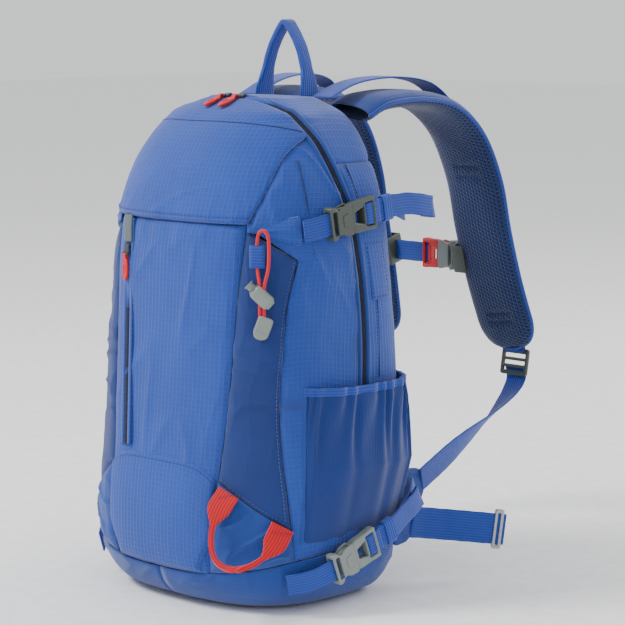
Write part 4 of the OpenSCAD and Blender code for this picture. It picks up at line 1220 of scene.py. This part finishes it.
def compression_strap(name, at, front, back, tail, keeper):
    """Strap of one buckle: sewn stretch to the socket, wrapped over the plug's bar, keeper and folded tail."""
    x, y, z = buckle_axes(at)
    c = BUCKLE_L / 2

    def off(t, rise):
        return along(at, c + t) + rise * z

    front_path = spline(front + [along(at, -c - 3), along(at, -c + 6)], 6)
    webbing(name + "_front_webbing_@", front_path, y, STRAP_W, 1.8, replaces=[name + "_webbing"], sides=True)
    fold = [off(*p) for p in ((-3, -1.0), (-7, -2.2), (-11.4, -0.4), (-10.4, 2.4), (-4, 3.0), (5, 2.9))]
    plug = name + "_plug_@"
    webbing(name + "_fold_webbing_@", spline(fold, 8), y, STRAP_W, 1.5, body=plug, sides=True, step=1.2)
    rear_path = spline([off(t, -0.9) for t in (-2.4, 12, 27)] + back, 6)
    webbing(name + "_rear_webbing_@", rear_path, y, STRAP_W, 1.8, sides=True)
    tail_path = spline([off(t, 1.2) for t in (3, 14, 24)] + tail, 6)
    webbing(name + "_tail_@", tail_path, y, STRAP_W, 1.6, sides=True)
    turn = np.linspace(0, 2 * math.pi, 33)[:, None]
    loop = off(keeper, 3.6 * power(np.sin(turn), 0.7)) + 11.4 * power(np.cos(turn), 0.35) * y
    webbing(name + "_keeper_@", loop, x, 11, 1.5, body=plug, sides=True, step=1.2, wobble=0)


buckle("upper", UPPER, "buckle_dark", "buckle_dark")
buckle("lower", LOWER, "buckle_grey", "buckle_grey")
buckle("sternum", STERNUM, "buckle_grey", "red_plastic", False, STERNUM_L)
compression_strap("upper", UPPER, [(119.5, -50, 344), (122, -42, 345.5)], [(124, 76, 356), (117, 86, 354)],
                  [(134, 70, 362), (135.5, 88, 360), (135, 104, 357), (134, 108, 356.2), (132.8, 104, 356.6),
                   (132.6, 94, 358.4)], 16)
compression_strap("lower", LOWER, [(123, -76, 30), (137, -60, 34)],
                  [(143, 62, 78), (134, 82, 87), (122, 98, 93)],
                  [(148, 56, 78), (145, 72, 84), (141, 84, 89), (139, 83, 88), (141, 74, 84)], 18)

# ---- Sternum strap, waist belt and anchor wings ----

SLIDE_X, SLIDE, SLIDE_GAP = 41, (15, 8, 28), 1.2


def sternum():
    """Ribbed webbing between two clips that grip the pads' inner edges."""
    mid = np.array(STERNUM[0], float)
    for name, reach, replaces in (("webbing", (-13, -30, -58), ["sternum_webbing"]),
                                  ("stub", (14.2, 24.4), ())):
        webbing("sternum_strap_" + name, [mid + (x, 0, 0) for x in reach], (0, 0, 1), STRAP_W, 1.8,
                body="sternum_strap", replaces=replaces)
    depth = PAD_T + SLIDE[1]
    gap = PAD_T + 2 * SLIDE_GAP
    profile = [(0, -depth / 2), (SLIDE[0], -depth / 2), (SLIDE[0], -gap / 2), (4, -gap / 2), (4, gap / 2),
               (SLIDE[0], gap / 2), (SLIDE[0], depth / 2), (0, depth / 2)]
    clip = moulding([rounded(profile, [2, 1.5, 1.2, 1, 1, 1.2, 1.5, 2])], SLIDE[2], 1.0)
    placed = put(clip, *pitched(math.atan(14 / 50)), (SLIDE_X, *STERNUM[0][1:]))
    both = [turned(placed, [0, 1, 2], (k, 1, 1)) for k in (1, -1)]
    solid("sternum_clips", join(*both), "buckle_dark", "sternum_strap", ["sternum_slides"])


BELT_PATH = [(119, 98, 58), (122, 114, 55), (129, 130, 52), (131.5, 133.5, 51.6), (168, 177, 45)]
GLIDE = (9, 5, 38)


def waist():
    """Waist webbing with its metal glides, and the stiffened wings that it pulls on."""
    belt_to = np.array(BELT_PATH[-1], float)
    run = unit(belt_to - BELT_PATH[-2])
    side = unit((-run[0] * run[2], -run[1] * run[2], 1 - run[2]**2))
    path = np.concatenate([spline(BELT_PATH[:4], 5), [belt_to]])
    webbing("waist_webbing_@", path, side, 30, 1.7, replaces=["waist_belts"], sides=True)
    w, h = GLIDE[0] / 2, GLIDE[2] / 2
    ring = moulding([rect(-w, -h, w, h, 2.2), rect(-w + 3.4, -15.5, w - 3.4, 15.5, 0.8)], 5, 1.2)
    solid("waist_glide_ring_@", put(ring, run, side, np.cross(run, side), belt_to - 7 * run), "glide_metal",
          "waist_glide_@", ["waist_glide_@"], True)
    flat, faces = moulding([rounded([(68, 112), (112, 108), (122, 92), (96, 40), (72, 38)], 8)], 4.6, 1.6)
    verts = np.stack([flat[:, 2] + 116.5 - 0.06 * (flat[:, 0] - 90), flat[:, 0], flat[:, 1]], -1)
    make("anchor_wing_cloth_@", verts, faces, "plain_blue", "bag", flat[:, :2], ["anchor_wings"], True)
    inset = rounded([(84, 106), (108, 102), (116, 91), (94, 46), (84, 45)], 6)
    edge = [(119.8 - 0.06 * (p[0] - 90), p[0], p[1]) for p in inset]
    stitches("anchor_wing_stitches_@", [edge], sides=True)


AXE_PATH = [(83, -109, 114), (78, -118, 98), (76, -124, 78), (82, -128, 60), (93, -126, 51), (106, -117, 50),
            (117, -103, 58), (121, -91, 70), (121, -80, 84)]


def tool_loop():
    """Red loop: flat ribbed ends sewn under the slanted seam, rolled round between them."""
    share = np.linspace(-1, 1, 31)
    flare = smooth(np.abs(share), 0.52, 0.78)
    upper, lower = np.array([0.75, 0.45, 0.25]), np.array([0.55, 0.8, -0.2])
    sides = [lerp(upper, lower, t) for t in np.linspace(0, 1, 9)]
    path = spline(AXE_PATH, 8)
    webbing("axe_loop_webbing", path, sides, lerp(4.9, 22, flare), lerp(4.5, 2.0, flare), "red_webbing",
            replaces=["axe_loop"], step=1.6, wobble=0.15, bulge=0.1)
    for name, at, direction in (("upper", 2, upper), ("lower", len(path) - 4, lower)):
        ends = [path[at] + k * unit(direction) * 10 + unit(path[at] * (1, 1, 0)) * 1.6 for k in (-1, 0, 1)]
        stitches("axe_loop_stitches_" + name, [ends], pitch=2.4, length=1.8)


def pole_tab():
    """Ribbed tab that holds the elastic against the corner panel."""
    turn, middle = turns(40), (0, 3.4)
    ring = np.stack([6.8 * power(np.cos(turn), 0.4), 2.7 * np.sin(turn)], -1)
    flat, faces = moulding([ring + middle, ring * (0.62, 0.6) + middle], 20, 0.6, 23)
    verts = hold((flat, faces))[0]
    make("pole_tab_webbing", verts, faces, "webbing_blue", "bag", flat[:, [2, 0]], ["pole_tab"])


def plain_nodes():
    """CAD nodes whose shape is right get their material."""
    for name, look in (("frame_sheet", "frame_white"), ("hydration_sleeve", "lining")):
        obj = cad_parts[name]
        if not obj.data.materials:
            obj.data.materials.append(None)
        for k in range(len(obj.data.materials)):
            obj.data.materials[k] = MATERIALS[look]


sternum()
waist()
tool_loop()
pole_tab()
plain_nodes()
